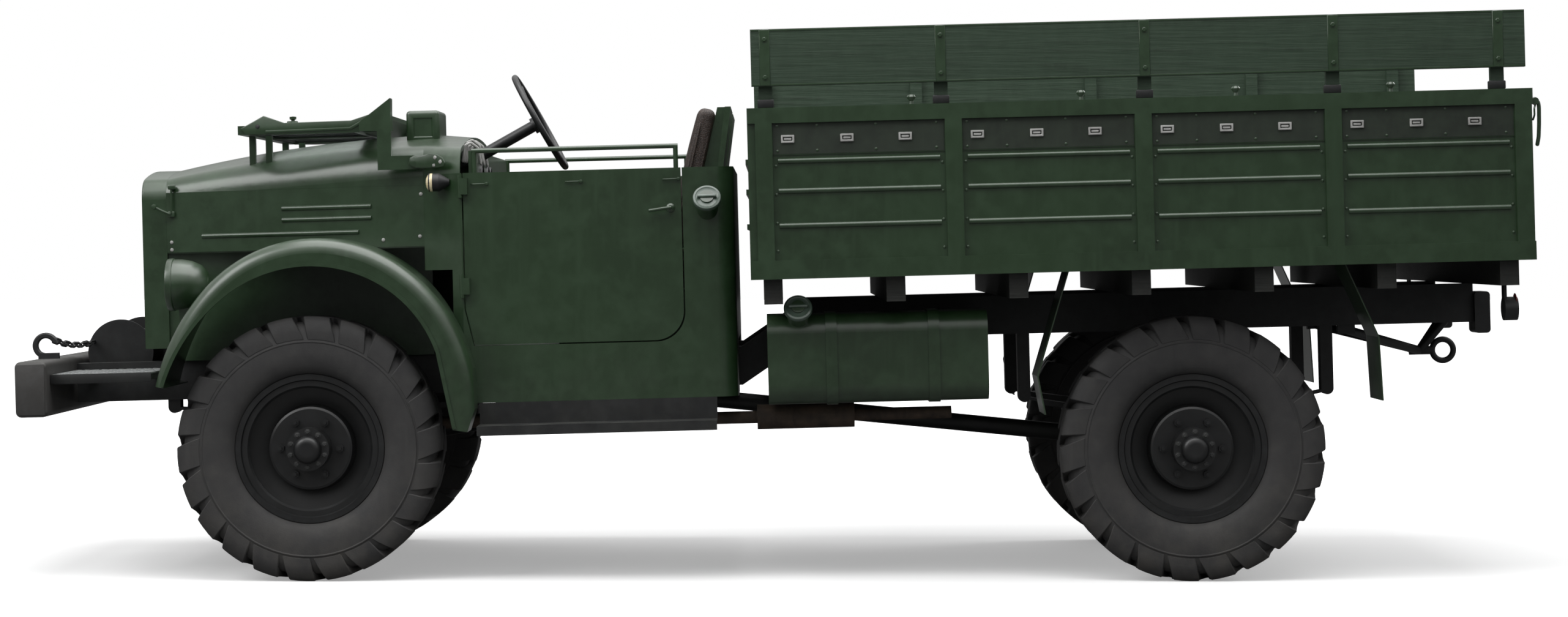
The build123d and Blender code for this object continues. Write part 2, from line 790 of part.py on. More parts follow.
def door_outline(grow):
    """The door in the side view: cut front-lower corner and a wide round at the rear foot."""
    top = cab_top_z if not grow else cab_top_z + overrun
    face = outline(
        (door_front_x - grow, top),
        (door_rear_x + grow, top),
        (door_rear_x + grow, door_bottom_z - grow),
        (door_front_x + door_chamfer_width - grow, door_bottom_z - grow),
        (door_front_x - grow, door_bottom_z + door_chamfer_height),
    )
    foot = face.vertices().sort_by(Axis.Y)[0:2].sort_by(Axis.X)[-1]
    return fillet(foot, door_corner)


def door(side):
    """One door with its hinge barrels; side is -1 for the driver's."""
    outer = -cab_half_width
    body = slab(door_outline(0), outer, outer + door_thickness)
    y = outer - hinge_stand_out
    for z in (hinge_top_z, hinge_low_z):
        z0, z1 = z - hinge_length / 2, z + hinge_length / 2
        body += bar((hinge_x, y, z0), (hinge_x, y, z1), hinge_radius)
        body += block(hinge_x, door_front_x + 2 * hinge_radius, y - hinge_radius, y - hinge_radius / 3,
                      z0, z1)
        body += block(door_front_x + seam, door_front_x + 2 * hinge_radius, y - hinge_radius, outer, z0, z1)
    return body if side < 0 else mirror(body, about=Plane.XZ)


def grab_rails():
    """The rails above the doors, carried by the doors' tops."""
    r = grab_rail_radius
    y = door_thickness / 2 - cab_half_width
    body = bar((grab_rail_front_x, y, grab_rail_z), (grab_rail_rear_x, y, grab_rail_z), r)
    for x in (grab_rail_front_x + r, grab_rail_rear_x - r):
        body += bar((x, y, cab_top_z), (x, y, grab_rail_z), r)
    return body


def dashboard():
    """The instrument panel across the cab, under the cowl's rear edge."""
    w = cab_half_width - door_thickness - seam
    return block(dash_x, dash_x + dash_metal, -w, w, dash_bottom_z, dash_top_z) - column_passage()


def seat_cushions():
    """The driver's and the passengers' cushions."""
    driver = block(seat_front_x, seat_rear_x, -seat_outer_y, -seat_half_gap, seat_bottom_z, seat_top_z)
    crew = block(seat_front_x, seat_rear_x, seat_half_gap - overrun, seat_outer_y, seat_bottom_z, seat_top_z)
    return fillet(driver.edges(), overrun / 2) + fillet(crew.edges(), overrun / 2)


def seat_backs():
    """The two leaning back cushions."""
    face = outline((back_front_x, back_bottom_z), (back_front_x + back_thickness, back_bottom_z),
                   (back_top_front_x + back_thickness, back_top_z), (back_top_front_x, back_top_z))
    driver = slab(face, -seat_outer_y, -seat_half_gap)
    crew = slab(face, seat_half_gap - overrun, seat_outer_y)
    return fillet(driver.edges(), overrun / 2) + fillet(crew.edges(), overrun / 2)


def seat_frame():
    """The seat boxes on the floor and the back frame behind the cushions."""
    gap = running_gap
    body = Part()
    for y0, y1 in ((-seat_outer_y, -seat_half_gap), (seat_half_gap - overrun, seat_outer_y)):
        body += block(seat_front_x, seat_rear_x, y0, y1, cab_floor_z, seat_bottom_z - gap)
        x0, x1, t = back_plate_x, back_plate_top_x, back_plate_thickness
        plate = outline((x0, cab_floor_z), (x0 + t, cab_floor_z), (x0 + t, cab_top_z), (x1 + t, back_top_z),
                        (x1, back_top_z), (x0, cab_top_z))
        body += slab(plate, y0, y1)
        body += block(seat_rear_x, x0, y0, y1, cab_floor_z, seat_bottom_z - gap)
        cheek = outline((back_front_x + back_thickness + gap, back_bottom_z), (x0, back_bottom_z),
                        (x0, cab_top_z), (x1, back_top_z), (back_top_front_x + back_thickness + gap, back_top_z))
        body += slab(cheek, y0 + overrun, y0 + overrun + back_cheek_thickness)
        body += slab(cheek, y1 - overrun - back_cheek_thickness, y1 - overrun)
    return body


column_dir = (math.cos(math.radians(wheel_tilt)), 0, math.sin(math.radians(wheel_tilt)))


def on_column(distance):
    """A place down the steering column from the wheel's hub."""
    return (wheel_centre_x - distance * column_dir[0], wheel_centre_y,
            wheel_centre_z - distance * column_dir[2])


def steering_wheel():
    """The thin-rimmed wheel with three spokes and its hub."""
    plane = Plane(origin=(wheel_centre_x, wheel_centre_y, wheel_centre_z), z_dir=column_dir)
    ring = plane.location * Torus(steering_rim_radius, steering_rim_thickness)
    hub = bar(on_column(0), on_column(steering_hub_radius), steering_hub_radius)
    body = ring + hub
    for number in range(3):
        turn = math.radians(90 + number * 120)
        reach = (steering_rim_radius * math.cos(turn), steering_rim_radius * math.sin(turn), 0)
        tip = plane.from_local_coords(Vector(*reach))
        body += bar(on_column(steering_hub_radius / 2), tuple(tip), steering_spoke_radius)
    return body


def column_passage():
    """The round way that the column's jacket takes through a panel."""
    return bar(on_column(0), on_column(2 * column_length), column_radius + running_gap)


def steering_column():
    """The column's jacket, from the wheel down through the bulkhead."""
    start = steering_hub_radius + running_gap
    return bar(on_column(start), on_column(start + column_length), column_radius)


def windscreen_frame():
    """The screen's frame with its two lights, side arms and lower apron, folded on the bonnet."""
    w, rail = screen_half_width, screen_rail
    z0, z1 = screen_bottom_z - screen_depth / 2, screen_bottom_z + screen_depth / 2
    body = block(screen_tip_x, screen_base_x, -w, w, z0, z1)
    for y0, y1 in ((rail - w, -rail / 2), (rail / 2, w - rail)):
        body -= block(screen_tip_x + rail, screen_base_x - rail, y0, y1, z0 - overrun, z1 + overrun)
    t = screen_arm_thickness
    peak_x = screen_pivot_x - screen_arm_set_back
    mid_x, mid_z = (screen_base_x + peak_x) / 2, (z1 + screen_peak_z) / 2
    apron = outline((screen_base_x, z0), (mid_x, mid_z - screen_depth / 2), (mid_x, mid_z), (screen_base_x, z1))
    body += slab(apron, -w, w)
    plate = outline((screen_base_x, z0), (screen_base_x, z1), (peak_x, screen_peak_z), (peak_x, z0))
    r = screen_arm_width / 2
    reach = hood_rear_half_width + seam + t
    heel_x = peak_x - screen_arm_width
    arm = outline((heel_x, z0), (heel_x, screen_pivot_z - r), (screen_pivot_x, screen_pivot_z - r),
                  (screen_pivot_x, screen_pivot_z + r), (peak_x, screen_pivot_z + r), (peak_x, z0))
    shank = slab(arm, -reach, t - reach)
    shank += bar((screen_pivot_x, -reach, screen_pivot_z), (screen_pivot_x, t - reach, screen_pivot_z), r)
    return body + pair(slab(plate, -reach, -w) + shank)


def screen_rests():
    """The posts on the bonnet that the folded screen lies on."""
    top = screen_bottom_z - screen_depth / 2 - running_gap
    body = Part()
    for share in screen_rest_shares:
        x = screen_tip_x + share * (screen_base_x - screen_tip_x)
        y = hood_rear_corner / 2 - min(hood_side_y(x), screen_half_width)
        body += block(x, x + screen_rest_width, y, y + screen_rest_width, hood_seam_z, top)
    return body


def windscreen_glass():
    """The two panes, seated in the frame."""
    w, rail, gap = screen_half_width, screen_rail, running_gap
    t = screen_glass_thickness / 2
    panes = Part()
    for y0, y1 in ((rail - w, -rail / 2), (rail / 2, w - rail)):
        panes += block(screen_tip_x + rail + gap, screen_base_x - rail - gap, y0 + gap, y1 - gap,
                       screen_bottom_z - t, screen_bottom_z + t)
    return panes


def running_boards():
    """The steps below the doors, with lips, risers and brackets to the frame."""
    z = board_top_z
    body = block(board_front_x, board_rear_x, -board_outer_y, -board_inner_y, z - board_metal, z)
    body += block(board_front_x, board_rear_x, -board_outer_y, board_metal - board_outer_y, z - board_lip, z)
    body += block(board_front_x, board_rear_x, -board_inner_y, board_metal - board_inner_y, z - board_metal,
                  cab_bottom_z - running_gap)
    for x in (board_front_x + 2 * overrun, board_rear_x - 2 * overrun - strap_width):
        inner = cab_wall + seam - cab_half_width
        arm_z = rail_low_top_z - rail_depth / 2
        body += block(x, x + strap_width, -board_outer_y + overrun, inner, z - board_lip, z - board_metal)
        body += block(x, x + strap_width, inner, inner + board_lip, z - board_lip, arm_z)
        body += block(x, x + strap_width, inner, -rail_y, arm_z - board_lip, arm_z)
    return pair(body)


def fuel_tank():
    """The tank under the bed, with its straps and slanted filler."""
    x0, x1 = tank_front_x, tank_front_x + tank_length
    z0, z1 = tank_bottom_z, tank_bottom_z + tank_height
    body = block(x0, x1, -tank_outer_y, -tank_inner_y, z0, z1)
    body = fillet(body.edges().filter_by(Axis.X), tank_corner)
    for share in (0.29, 0.755):
        x = x0 + share * tank_length
        band = block(x - strap_width / 2, x + strap_width / 2, -tank_outer_y - strap_metal,
                     -tank_inner_y + strap_metal, z0 - strap_metal, z1 + strap_metal)
        band = fillet(band.edges().filter_by(Axis.X), tank_corner)
        body += band
        body += block(x - strap_width / 2, x + strap_width / 2, -tank_inner_y, -rail_y - running_gap,
                      z1 - 2 * strap_width, z1 - strap_width)
    neck_x = x0 + tank_length / 7
    return body + filler((neck_x, neck_radius - tank_outer_y, z1 - neck_radius / 2))


def filler(root):
    """A slanted filler neck with its wide cap; root is the neck's foot, inside what carries it."""
    x, y, z = root
    lean = math.radians(neck_lean)
    across, up = -math.sin(lean), math.cos(lean)

    def along(distance):
        """A place along the neck."""
        return (x, y + distance * across, z + distance * up)

    neck = bar(root, along(neck_length), neck_radius)
    cap = bar(along(neck_length), along(neck_length + cap_height), cap_radius)
    knob = bar(along(neck_length + cap_height), along(neck_length + cap_height * 1.5), cap_radius / 2)
    return neck + cap + knob


def exhaust():
    """The silencer across below the tank's front, its pipe from the engine and its tail."""
    x0, x1 = muffler_x - muffler_length / 2, muffler_x + muffler_length / 2
    y, z = muffler_y, muffler_z
    body = bar((x0, y, z), (x1, y, z), muffler_radius)
    down_y = -engine_half_width - 2 * pipe_radius
    manifold_z = engine_bottom_z + engine_height / 2
    engine_x = engine_front_x + engine_length - 2 * overrun
    bend_x = board_front_x + overrun
    route = ((engine_x, -engine_half_width - running_gap, manifold_z), (engine_x, down_y, manifold_z),
             (engine_x, down_y, z), (bend_x, down_y, z), (bend_x + overrun * 3, y, z), (x0, y, z))
    for start, end in zip(route, route[1:]):
        body += bar(start, end, pipe_radius)
        body += Pos(*end) * Sphere(pipe_radius)
    body += bar((x1, y, z), (x1 + muffler_length, y, z), pipe_radius)
    return body


def engine_block():
    """The engine, as one plain block on the frame."""
    x0 = engine_front_x
    return block(x0, x0 + engine_length, -engine_half_width, engine_half_width, engine_bottom_z,
                 engine_bottom_z + engine_height)


def gearboxes():
    """The gearbox behind the engine and the transfer case on its own short shaft."""
    x0, x1 = gearbox_front_x, gearbox_front_x + gearbox_length
    z0 = gearbox_bottom_z
    body = block(x0, x1, -gearbox_half_width, gearbox_half_width, z0 + rail_metal, z0 + gearbox_height / 2)
    mid_z = z0 + gearbox_height / 2
    body += bar((engine_front_x + engine_length, 0, mid_z), (x1, 0, mid_z), gearbox_height / 2)
    t0, t1 = transfer_front_x, transfer_front_x + transfer_length
    body += block(t0, t1, -transfer_half_width, transfer_half_width, transfer_bottom_z,
                  transfer_bottom_z + transfer_height)
    body += bar((x1, 0, mid_z), (t0, 0, mid_z), shaft_radius)
    for y in (-rail_y + rail_metal, transfer_half_width):
        body += block(t0 + transfer_length / 3, t1 - transfer_length / 3, y,
                      y + rail_y - rail_metal - transfer_half_width, rail_low_top_z - rail_depth / 2,
                      rail_low_top_z - rail_depth / 3)
    return body


def wheel_profile(points):
    """A ring turned about the wheel's axle, from (radius, place across) points."""
    return revolve(outline(*[(r, w) for r, w in points]), Axis.Y)


def tyre_slice(turn):
    """One flat-sided slice of the tyre's carcass, as wide as a lug and a gap; turn is in degrees."""
    half = tyre_width / 2
    low = tyre_radius - lug_depth
    rim_half = rim_width / 2 - rim_metal - running_gap
    flange = rim_flange_radius + running_gap
    side = ((rim_half, bead_radius + running_gap), (rim_half, flange),
            (half, (flange + lug_ring_radius) / 2), (half, lug_ring_radius), (half - lug_depth, low))
    hollow = ((half - lug_depth - tyre_wall, low - tyre_wall), (rim_half - tyre_wall, bead_radius + running_gap))
    points = [(-y, -r) for y, r in side] + [(y, -r) for y, r in reversed(side)]
    points += [(y, -r) for y, r in reversed(hollow)] + [(-y, -r) for y, r in hollow]
    reach = 2 * tyre_radius
    bar_solid = extrude(Pos(-reach / 2, 0, 0) * (Plane.YZ * outline(*points)), reach)
    fan = math.tan(math.radians(180 / lug_count)) * reach
    wedge = slab(outline((0, 0), (-fan, -reach), (fan, -reach)), -half - overrun, half + overrun)
    return Rot(0, turn, 0) * (bar_solid & wedge)


def tyre_lug(turn):
    """One bar of tread across the tyre, reaching down its shoulders; its root lies in the carcass."""
    half = tyre_width / 2
    low = tyre_radius - lug_depth
    root = tyre_wall / 2
    length = lug_share * 2 * math.pi * tyre_radius / lug_count
    side = ((half - lug_depth / 4, lug_ring_radius), (half, low), (half - lug_depth, tyre_radius))
    hidden = ((half - lug_depth - root, low - root), (half - lug_depth / 4 - root, lug_ring_radius))
    points = [(-y, -r) for y, r in side] + [(y, -r) for y, r in reversed(side)]
    points += [(y, -r) for y, r in reversed(hidden)] + [(-y, -r) for y, r in hidden]
    return Rot(0, turn, 0) * extrude(Pos(-length / 2, 0, 0) * (Plane.YZ * outline(*points)), length)


def tyre():
    """One tyre about its own axle, which lies along Y, with a bar of tread square on the ground."""
    turns = [number * 360 / lug_count for number in range(lug_count)]
    pieces = [tyre_slice(turn) for turn in turns] + [tyre_lug(turn) for turn in turns]
    return pieces[0].fuse(*pieces[1:])


def wheel():
    """One wheel about its axle: rim, dished disc, drum, hub and nuts; the outer side is -Y."""
    half, t = rim_width / 2, rim_metal
    seat = bead_radius - running_gap
    rim = wheel_profile([
        (seat, half - t), (rim_flange_radius, half - t), (rim_flange_radius, half),
        (seat - t, half), (seat - t, half / 2), (wheel_disc_radius, half / 3),
        (wheel_disc_radius, -half / 3), (seat - t, -half / 2), (seat - t, 3 * t - half),
        (gutter_radius + t / 2, 3 * t - half), (gutter_radius, 2 * t - half), (gutter_radius + t, t - half),
        (seat - t, t - half), (seat - t / 2, -half), (rim_flange_radius, -half), (rim_flange_radius, t - half), (seat, t - half),
        (seat, -half / 2), (wheel_disc_radius + t, -half / 3), (wheel_disc_radius + t, half / 3),
        (seat, half / 2),
    ])
    face = hub_stand_out
    dish = dish_depth
    disc = wheel_profile([
        (hub_radius, -face), (hub_face_radius - t, -face), (hub_face_radius, t / 2 - face),
        (hub_face_radius + t, dish), (wheel_disc_radius + t / 2, dish - 2 * t),
        (wheel_disc_radius + t / 2, dish - t), (hub_face_radius + t / 2, dish + t),
        (hub_face_radius - t, t - face), (hub_radius, t - face),
    ])
    inner = hub_face_radius - 2 * t
    drum = wheel_profile([
        (hub_radius / 2, t - face), (inner + t / 2, t - face), (inner + t, dish + 2 * t),
        (drum_radius, dish + 2 * t), (drum_radius, drum_width - face), (drum_radius - 2 * t, drum_width - face),
        (drum_radius - 2 * t, dish + 4 * t), (inner - t, dish + 4 * t), (inner - 2 * t, 4 * t - face),
        (hub_radius / 2, 4 * t - face),
    ])
    hub = bar((0, -face + 2 * t, 0), (0, -face - hub_length, 0), hub_radius)
    cap = bar((0, -face - hub_length, 0), (0, -face - hub_length - hub_cap_length, 0), hub_cap_radius)
    cap = fillet(cap.faces().sort_by(Axis.Y)[0].edges(), hub_cap_length * 0.8)
    body = rim + disc + drum + hub + cap
    for number in range(nut_count):
        turn = 2 * math.pi * number / nut_count
        x, z = nut_circle / 2 * math.cos(turn), nut_circle / 2 * math.sin(turn)
        seat_plane = Plane(origin=(x, -face, z), z_dir=(0, -1, 0))
        body += extrude(seat_plane * RegularPolygon(nut_radius, nut_side_count), nut_height)
        body += extrude(seat_plane * RegularPolygon(nut_radius / 2, nut_side_count), nut_height * 1.5)
    return body


def place_wheel(shape, axle_x, side):
    """Sets a wheel or tyre at its axle's end; side is -1 for the driver's."""
    placed = Pos(axle_x, -track / 2, tyre_radius) * shape
    return placed if side < 0 else mirror(placed, about=Plane.XZ)


def axle_beam(axle_x, tube_end_y, diff_offset_y):
    """A live axle's housing: banjo, side tubes and drive flange."""
    z = tyre_radius
    body = bar((axle_x, -tube_end_y, z), (axle_x, tube_end_y, z), axle_tube_radius)
    y = diff_offset_y
    profile = outline((0, -diff_half_width), (diff_radius / 2, -diff_half_width),
                      (diff_radius, -diff_half_width / 3), (diff_radius, diff_half_width / 3),
                      (diff_radius / 2, diff_half_width), (0, diff_half_width))
    return body + Pos(axle_x, y, z) * revolve(profile, Axis.Y)


def pinion_nose(axle_x, diff_offset_y, way):
    """The drive pinion's nose on an axle; way is +1 where it points rearward."""
    tip = axle_x + way * (diff_radius + 2 * axle_tube_radius)
    return bar((axle_x, diff_offset_y, tyre_radius), (tip, diff_offset_y, tyre_radius), axle_tube_radius)


def front_axle():
    """The driven front axle with its ball ends."""
    body = axle_beam(front_axle_x, steer_pin_y, diff_y) + pinion_nose(front_axle_x, diff_y, 1)
    for y in (-steer_pin_y, steer_pin_y):
        body += Pos(front_axle_x, y, tyre_radius) * Sphere(ball_radius)
    return body


def rear_axle():
    """The rear axle with the flanges that carry its brakes."""
    reach = track / 2 + hub_stand_out - 4 * rim_metal - running_gap
    body = axle_beam(rear_axle_x, reach, 0) + pinion_nose(rear_axle_x, 0, -1)
    back = track / 2 + hub_stand_out - drum_width
    for side in (-1, 1):
        y0, y1 = side * (back - 2 * rim_metal), side * (back - running_gap)
        body += bar((rear_axle_x, y0, tyre_radius), (rear_axle_x, y1, tyre_radius), drum_radius - rim_metal)
    return body


def knuckle(side):
    """One steering knuckle: a cup round the ball, brake plate, spindle and tie-rod arm."""
    z = tyre_radius
    cup = ball_radius + running_gap
    shell = Sphere(cup + knuckle_metal) - Sphere(cup)
    keep = block(-2 * cup, 2 * cup, -2 * cup, -ball_radius / 4, -2 * cup, 2 * cup)
    body = shell & keep
    for way in (-1, 1):
        body += bar((0, 0, way * (cup + knuckle_metal / 2)), (0, 0, way * (cup + knuckle_metal + king_pin_height)),
                    king_pin_radius + knuckle_metal / 2)
        body += block(-king_pin_radius, king_pin_radius, -cup, king_pin_radius, way * cup - knuckle_metal / 2
                      + way * knuckle_metal / 2, way * cup + knuckle_metal / 2 + way * knuckle_metal / 2)
    body -= Sphere(cup)
    back = track / 2 - steer_pin_y + hub_stand_out - drum_width
    plate_y = -(back - running_gap)
    body += bar((0, -cup, 0), (0, plate_y + rim_metal, 0), axle_tube_radius)
    body += bar((0, plate_y + 2 * rim_metal, 0), (0, plate_y, 0), drum_radius - rim_metal)
    body -= Sphere(cup)
    arm_z = -(cup + knuckle_metal)
    eye = (tie_rod_back, tie_rod_in)
    lift = tie_rod_eye_height / 2
    body += block(-king_pin_radius, eye[0], eye[1] - tie_rod_radius, eye[1] + tie_rod_radius,
                  arm_z - lift, arm_z - lift / 4)
    body += bar((eye[0], eye[1], arm_z - lift), (eye[0], eye[1], arm_z - lift / 4), tie_rod_eye_radius)
    placed = Pos(front_axle_x, -steer_pin_y, z) * body
    return placed if side < 0 else mirror(placed, about=Plane.XZ)


def tie_rod():
    """The rod that joins the two steering arms, with an eye above each."""
    arm_z = tyre_radius - (ball_radius + running_gap + knuckle_metal)
    lift = tie_rod_eye_height / 2
    x, y = front_axle_x + tie_rod_back, steer_pin_y - tie_rod_in
    z0 = arm_z - lift - running_gap - tie_rod_eye_height
    body = bar((x, -y, z0 + lift), (x, y, z0 + lift), tie_rod_radius)
    for side in (-1, 1):
        body += bar((x, side * y, z0), (x, side * y, z0 + tie_rod_eye_height), tie_rod_eye_radius)
    return body


def leaf_spring(x, z, side_y, camber):
    """One leaf spring, its leaves shorter as they go down, with an eye at each end."""
    body = Part()
    y0, y1 = side_y - spring_width / 2, side_y + spring_width / 2
    for number in range(spring_leaf_count):
        half = spring_half_length * (1 - number / (spring_leaf_count + 1))
        low = z - number * spring_leaf
        rise = camber * (half / spring_half_length) ** 2
        top = ThreePointArc((x - half, low + rise), (x, low), (x + half, low + rise))
        under = ThreePointArc((x + half, low + rise - spring_leaf), (x, low - spring_leaf),
                              (x - half, low + rise - spring_leaf))
        ends = Line((x + half, low + rise), (x + half, low + rise - spring_leaf))
        ends += Line((x - half, low + rise - spring_leaf), (x - half, low + rise))
        body += slab(make_face(top + under + ends), y0, y1)
    for end in (-1, 1):
        ex = x + end * spring_half_length
        body += bar((ex, y0, z + camber), (ex, y1, z + camber), spring_eye_radius)
    return body


def spring_set(x, seat_z, rail_under_z, camber):
    """Both springs of an axle with the hangers that join their eyes to the rails."""
    z = seat_z + axle_tube_radius + spring_leaf * spring_leaf_count + running_gap
    body = leaf_spring(x, z, -spring_y, camber)
    for end in (-1, 1):
        ex = x + end * spring_half_length
        ez = z + camber
        hanger = block(ex - spring_eye_radius, ex + spring_eye_radius, -spring_y - spring_width / 2,
                       -spring_y + spring_width / 2, ez, rail_under_z)
        body += hanger
    clamp = block(x - 2 * axle_tube_radius, x + 2 * axle_tube_radius, -spring_y - spring_width / 2,
                  -spring_y + spring_width / 2, z, z + spring_plate)
    return pair(body + clamp)


def leaf_springs():
    """The four leaf springs."""
    front = spring_set(front_seat_x, front_seat_z, rail_low_top_z - rail_depth, front_spring_rise)
    rear = spring_set(rear_seat_x, rear_seat_z, rail_top_z - rail_depth, rear_spring_rise)
    return front + rear


def drive_shaft(start, end):
    """A shaft between two coupling flanges, each square to the truck."""
    (x0, y0, z0), (x1, y1, z1) = start, end
    t = shaft_flange / 2
    body = bar((x0 + t, y0, z0), (x1 - t, y1, z1), shaft_radius)
    body += bar(start, (x0 + 2 * t, y0, z0), axle_tube_radius)
    return body + bar((x1 - 2 * t, y1, z1), end, axle_tube_radius)


def prop_shafts():
    """The shafts from the transfer case to the front and rear axles."""
    z = transfer_bottom_z + transfer_height / 3
    lean = axle_tube_radius * math.sin(math.radians(body_pitch))
    nose = diff_radius + 2 * axle_tube_radius + running_gap + lean
    fx, fz = to_sprung(front_axle_x + nose, tyre_radius)
    rx, rz = to_sprung(rear_axle_x - nose, tyre_radius)
    front = drive_shaft((fx, diff_y, fz), (transfer_front_x - running_gap, diff_y, z))
    rear = drive_shaft((transfer_front_x + transfer_length + running_gap, 0, z), (rx, 0, rz))
    return front + rear


def bed_floor():
    """The bed's planked floor on its cross sills and the two long sills over the frame."""
    w = bed_half_width - bed_wall - running_gap
    x0 = bed_front_x + bed_wall + running_gap
    x1 = bed_rear_x - bed_rail_stand_out - gate_thickness - running_gap
    z = bed_floor_z
    body = block(x0, x1, -w, w, z - bed_floor_thickness, z)
    low = bed_bottom_z - sill_depth
    pitch = (x1 - x0 - sill_width) / (sill_count - 1)
    for number in range(sill_count):
        x = x0 + number * pitch
        body += block(x, x + sill_width, -w, w, low + running_gap, z - bed_floor_thickness)
    return body


def bed_side():
    """One side of the bed: boards between rails and posts, with long pressed ribs."""
    outer = -bed_half_width
    inner = outer + bed_wall
    x0, x1 = bed_front_x, bed_rear_x
    body = block(x0, x1, outer + bed_rail_stand_out, inner, bed_bottom_z, bed_top_z)
    body += block(x0, x1, outer, inner, bed_bottom_z, bed_bottom_z + bed_lower_rail_height)
    body += block(x0, x1, outer, inner, bed_top_z - bed_top_rail_height, bed_top_z)
    for number in range(post_count):
        x = post_first_x + number * post_pitch
        body += block(x, x + post_width, outer, inner, bed_bottom_z, bed_top_z)
    face_y = outer + bed_rail_stand_out
    for number in range(post_count - 1):
        left = post_first_x + number * post_pitch + post_width
        right = left + post_pitch - post_width
        for share in bed_rib_shares:
            z = bed_bottom_z + share * (bed_top_z - bed_bottom_z)
            body += bar((left + rib_height, face_y, z), (right - rib_height, face_y, z), rib_height / 2)
        z1 = bed_top_z - bed_top_rail_height
        body += block(left, right, face_y - strip_metal, face_y, z1 - strip_height, z1)
        for share in loop_shares:
            x = left + share * (right - left)
            body += Pos(x, face_y - strip_metal, z1 - strip_height / 2) * lash_loop()
    return body


def lash_loop():
    """A flat rectangular loop for the cover's lashing, standing out from its strip."""
    ring = Rectangle(loop_length, loop_height) - Rectangle(loop_length - 2 * loop_bar, loop_height - 2 * loop_bar)
    return extrude(Plane.XZ * ring, loop_bar)


def bed_sides():
    """Both sides of the bed."""
    return pair(bed_side())


def bed_front():
    """The bed's front wall, between its sides."""
    w = bed_half_width - bed_wall - running_gap
    body = block(bed_front_x, bed_front_x + bed_wall, -w, w, bed_bottom_z, bed_top_z)
    for share in bed_rib_shares:
        z = bed_bottom_z + share * (bed_top_z - bed_bottom_z)
        body += block(bed_front_x - rib_stand_out, bed_front_x, -w, w, z - rib_height / 2, z + rib_height / 2)
    return body


def gate_hinge_places():
    """Where the tailgate's hinges stand across the bed."""
    return [share * (bed_half_width - bed_wall) for share in (-0.8, -0.27, 0.27, 0.8)]


def tailgate():
    """The tailgate, hinged along its foot and closing between the sides."""
    w = bed_half_width - bed_wall - seam
    x1 = bed_rear_x
    x0 = x1 - gate_thickness
    body = block(x0, x1, -w, w, bed_bottom_z + bed_lower_rail_height, bed_top_z)
    for share in bed_rib_shares:
        z = bed_bottom_z + share * (bed_top_z - bed_bottom_z)
        body += block(x1, x1 + rib_stand_out, -w + overrun, w - overrun, z - rib_height / 2,
                      z + rib_height / 2)
    for y in gate_hinge_places():
        half = hinge_length / 2
        body += bar((gate_hinge_x, y - half, gate_hinge_z), (gate_hinge_x, y + half, gate_hinge_z),
                    gate_hinge_radius)
        body += block(x1, gate_hinge_x, y - half, y + half, gate_hinge_z,
                      bed_bottom_z + bed_lower_rail_height + 2 * overrun)
    return body


def bed_rear_sill():
    """The fixed sill under the tailgate."""
    w = bed_half_width - bed_wall - running_gap
    x1 = bed_rear_x - bed_rail_stand_out
    body = block(x1 - gate_thickness, x1, -w, w, bed_bottom_z, bed_bottom_z + bed_lower_rail_height - seam)
    r = gate_hinge_radius
    for y in gate_hinge_places():
        for way in (-1, 1):
            near = y + way * (hinge_length / 2 + running_gap)
            far = near + way * hinge_lug * 2
            low, high = min(near, far), max(near, far)
            body += bar((gate_hinge_x, low, gate_hinge_z), (gate_hinge_x, high, gate_hinge_z), r)
            body += block(x1, gate_hinge_x, low, high, gate_hinge_z - r, gate_hinge_z + r)
    return body


def upper_boards():
    """The boards above the bed's sides, on stanchions that stand on the top rails."""
    outer = -bed_half_width + bed_rail_stand_out
    z0 = upper_board_bottom_z
    board = block(bed_front_x + overrun / 2, bed_rear_x - overrun / 2, outer,
                  outer + upper_board_thickness, z0, z0 + upper_board_height)
    shares = (0.016, 0.24, 0.5, 0.74, 0.95)
    length = bed_rear_x - bed_front_x
    inner = outer + upper_board_thickness
    for share in shares:
        x = bed_front_x + share * length
        board += block(x, x + stanchion_width, inner, inner + stanchion_thickness, bed_top_z,
                       z0 + upper_board_height)
    return pair(board)


def mudguards():
    """The bent plates before and behind the rear wheels."""
    t = flap_metal
    z_top = bed_floor_z - bed_floor_thickness - running_gap
    body = Part()
    front_shares = ((-0.92, 1.30), (-1.17, 0.58), (-1.12, 0.29))
    rear_shares = ((1.16, 1.30), (1.40, 0.81), (1.42, 0.33))
    for shares in (front_shares, rear_shares):
        points = [(rear_seat_x + a * tyre_radius, rear_seat_z + b * tyre_radius) for a, b in shares]
        points = [(points[0][0], z_top)] + points[1:]
        back = [(x + t, z) for x, z in reversed(points)]
        body += slab(outline(*points, *back), -flap_outer_y, -flap_inner_y)
    return pair(body)


def rear_hitch():
    """The tow ring on its braced drawbar below the frame's end."""
    tip = (hitch_rear_x, 0, hook_z)
    body = bar((hitch_rear_x - overrun, 0, hook_z), (hook_x - hook_ring_radius, 0, hook_z), hitch_radius / 2)
    under = rail_top_z - rail_depth
    member_low = rail_top_z - rail_depth / 2 - cross_member_depth / 2
    back_x = rail_rear_x - cross_member_width / 2
    r = hitch_radius / 2
    for side in (-1, 1):
        y = side * (rail_y - rail_flange / 2)
        body += block(hitch_front_x - 2 * r, hitch_front_x + 2 * r, y - r, y + r, under - 2 * r, under)
        body += bar((hitch_front_x, y, under - r), tip, r)
        y = side * buffer_half_width
        body += block(back_x - r, back_x + r, y - r, y + r, member_low - 2 * r, member_low)
        body += bar((back_x, y, member_low - r), tip, r)
    ring = Pos(hook_x, 0, hook_z) * (Rot(90, 0, 0) * Torus(hook_ring_radius, hook_ring_bar))
    return body + ring


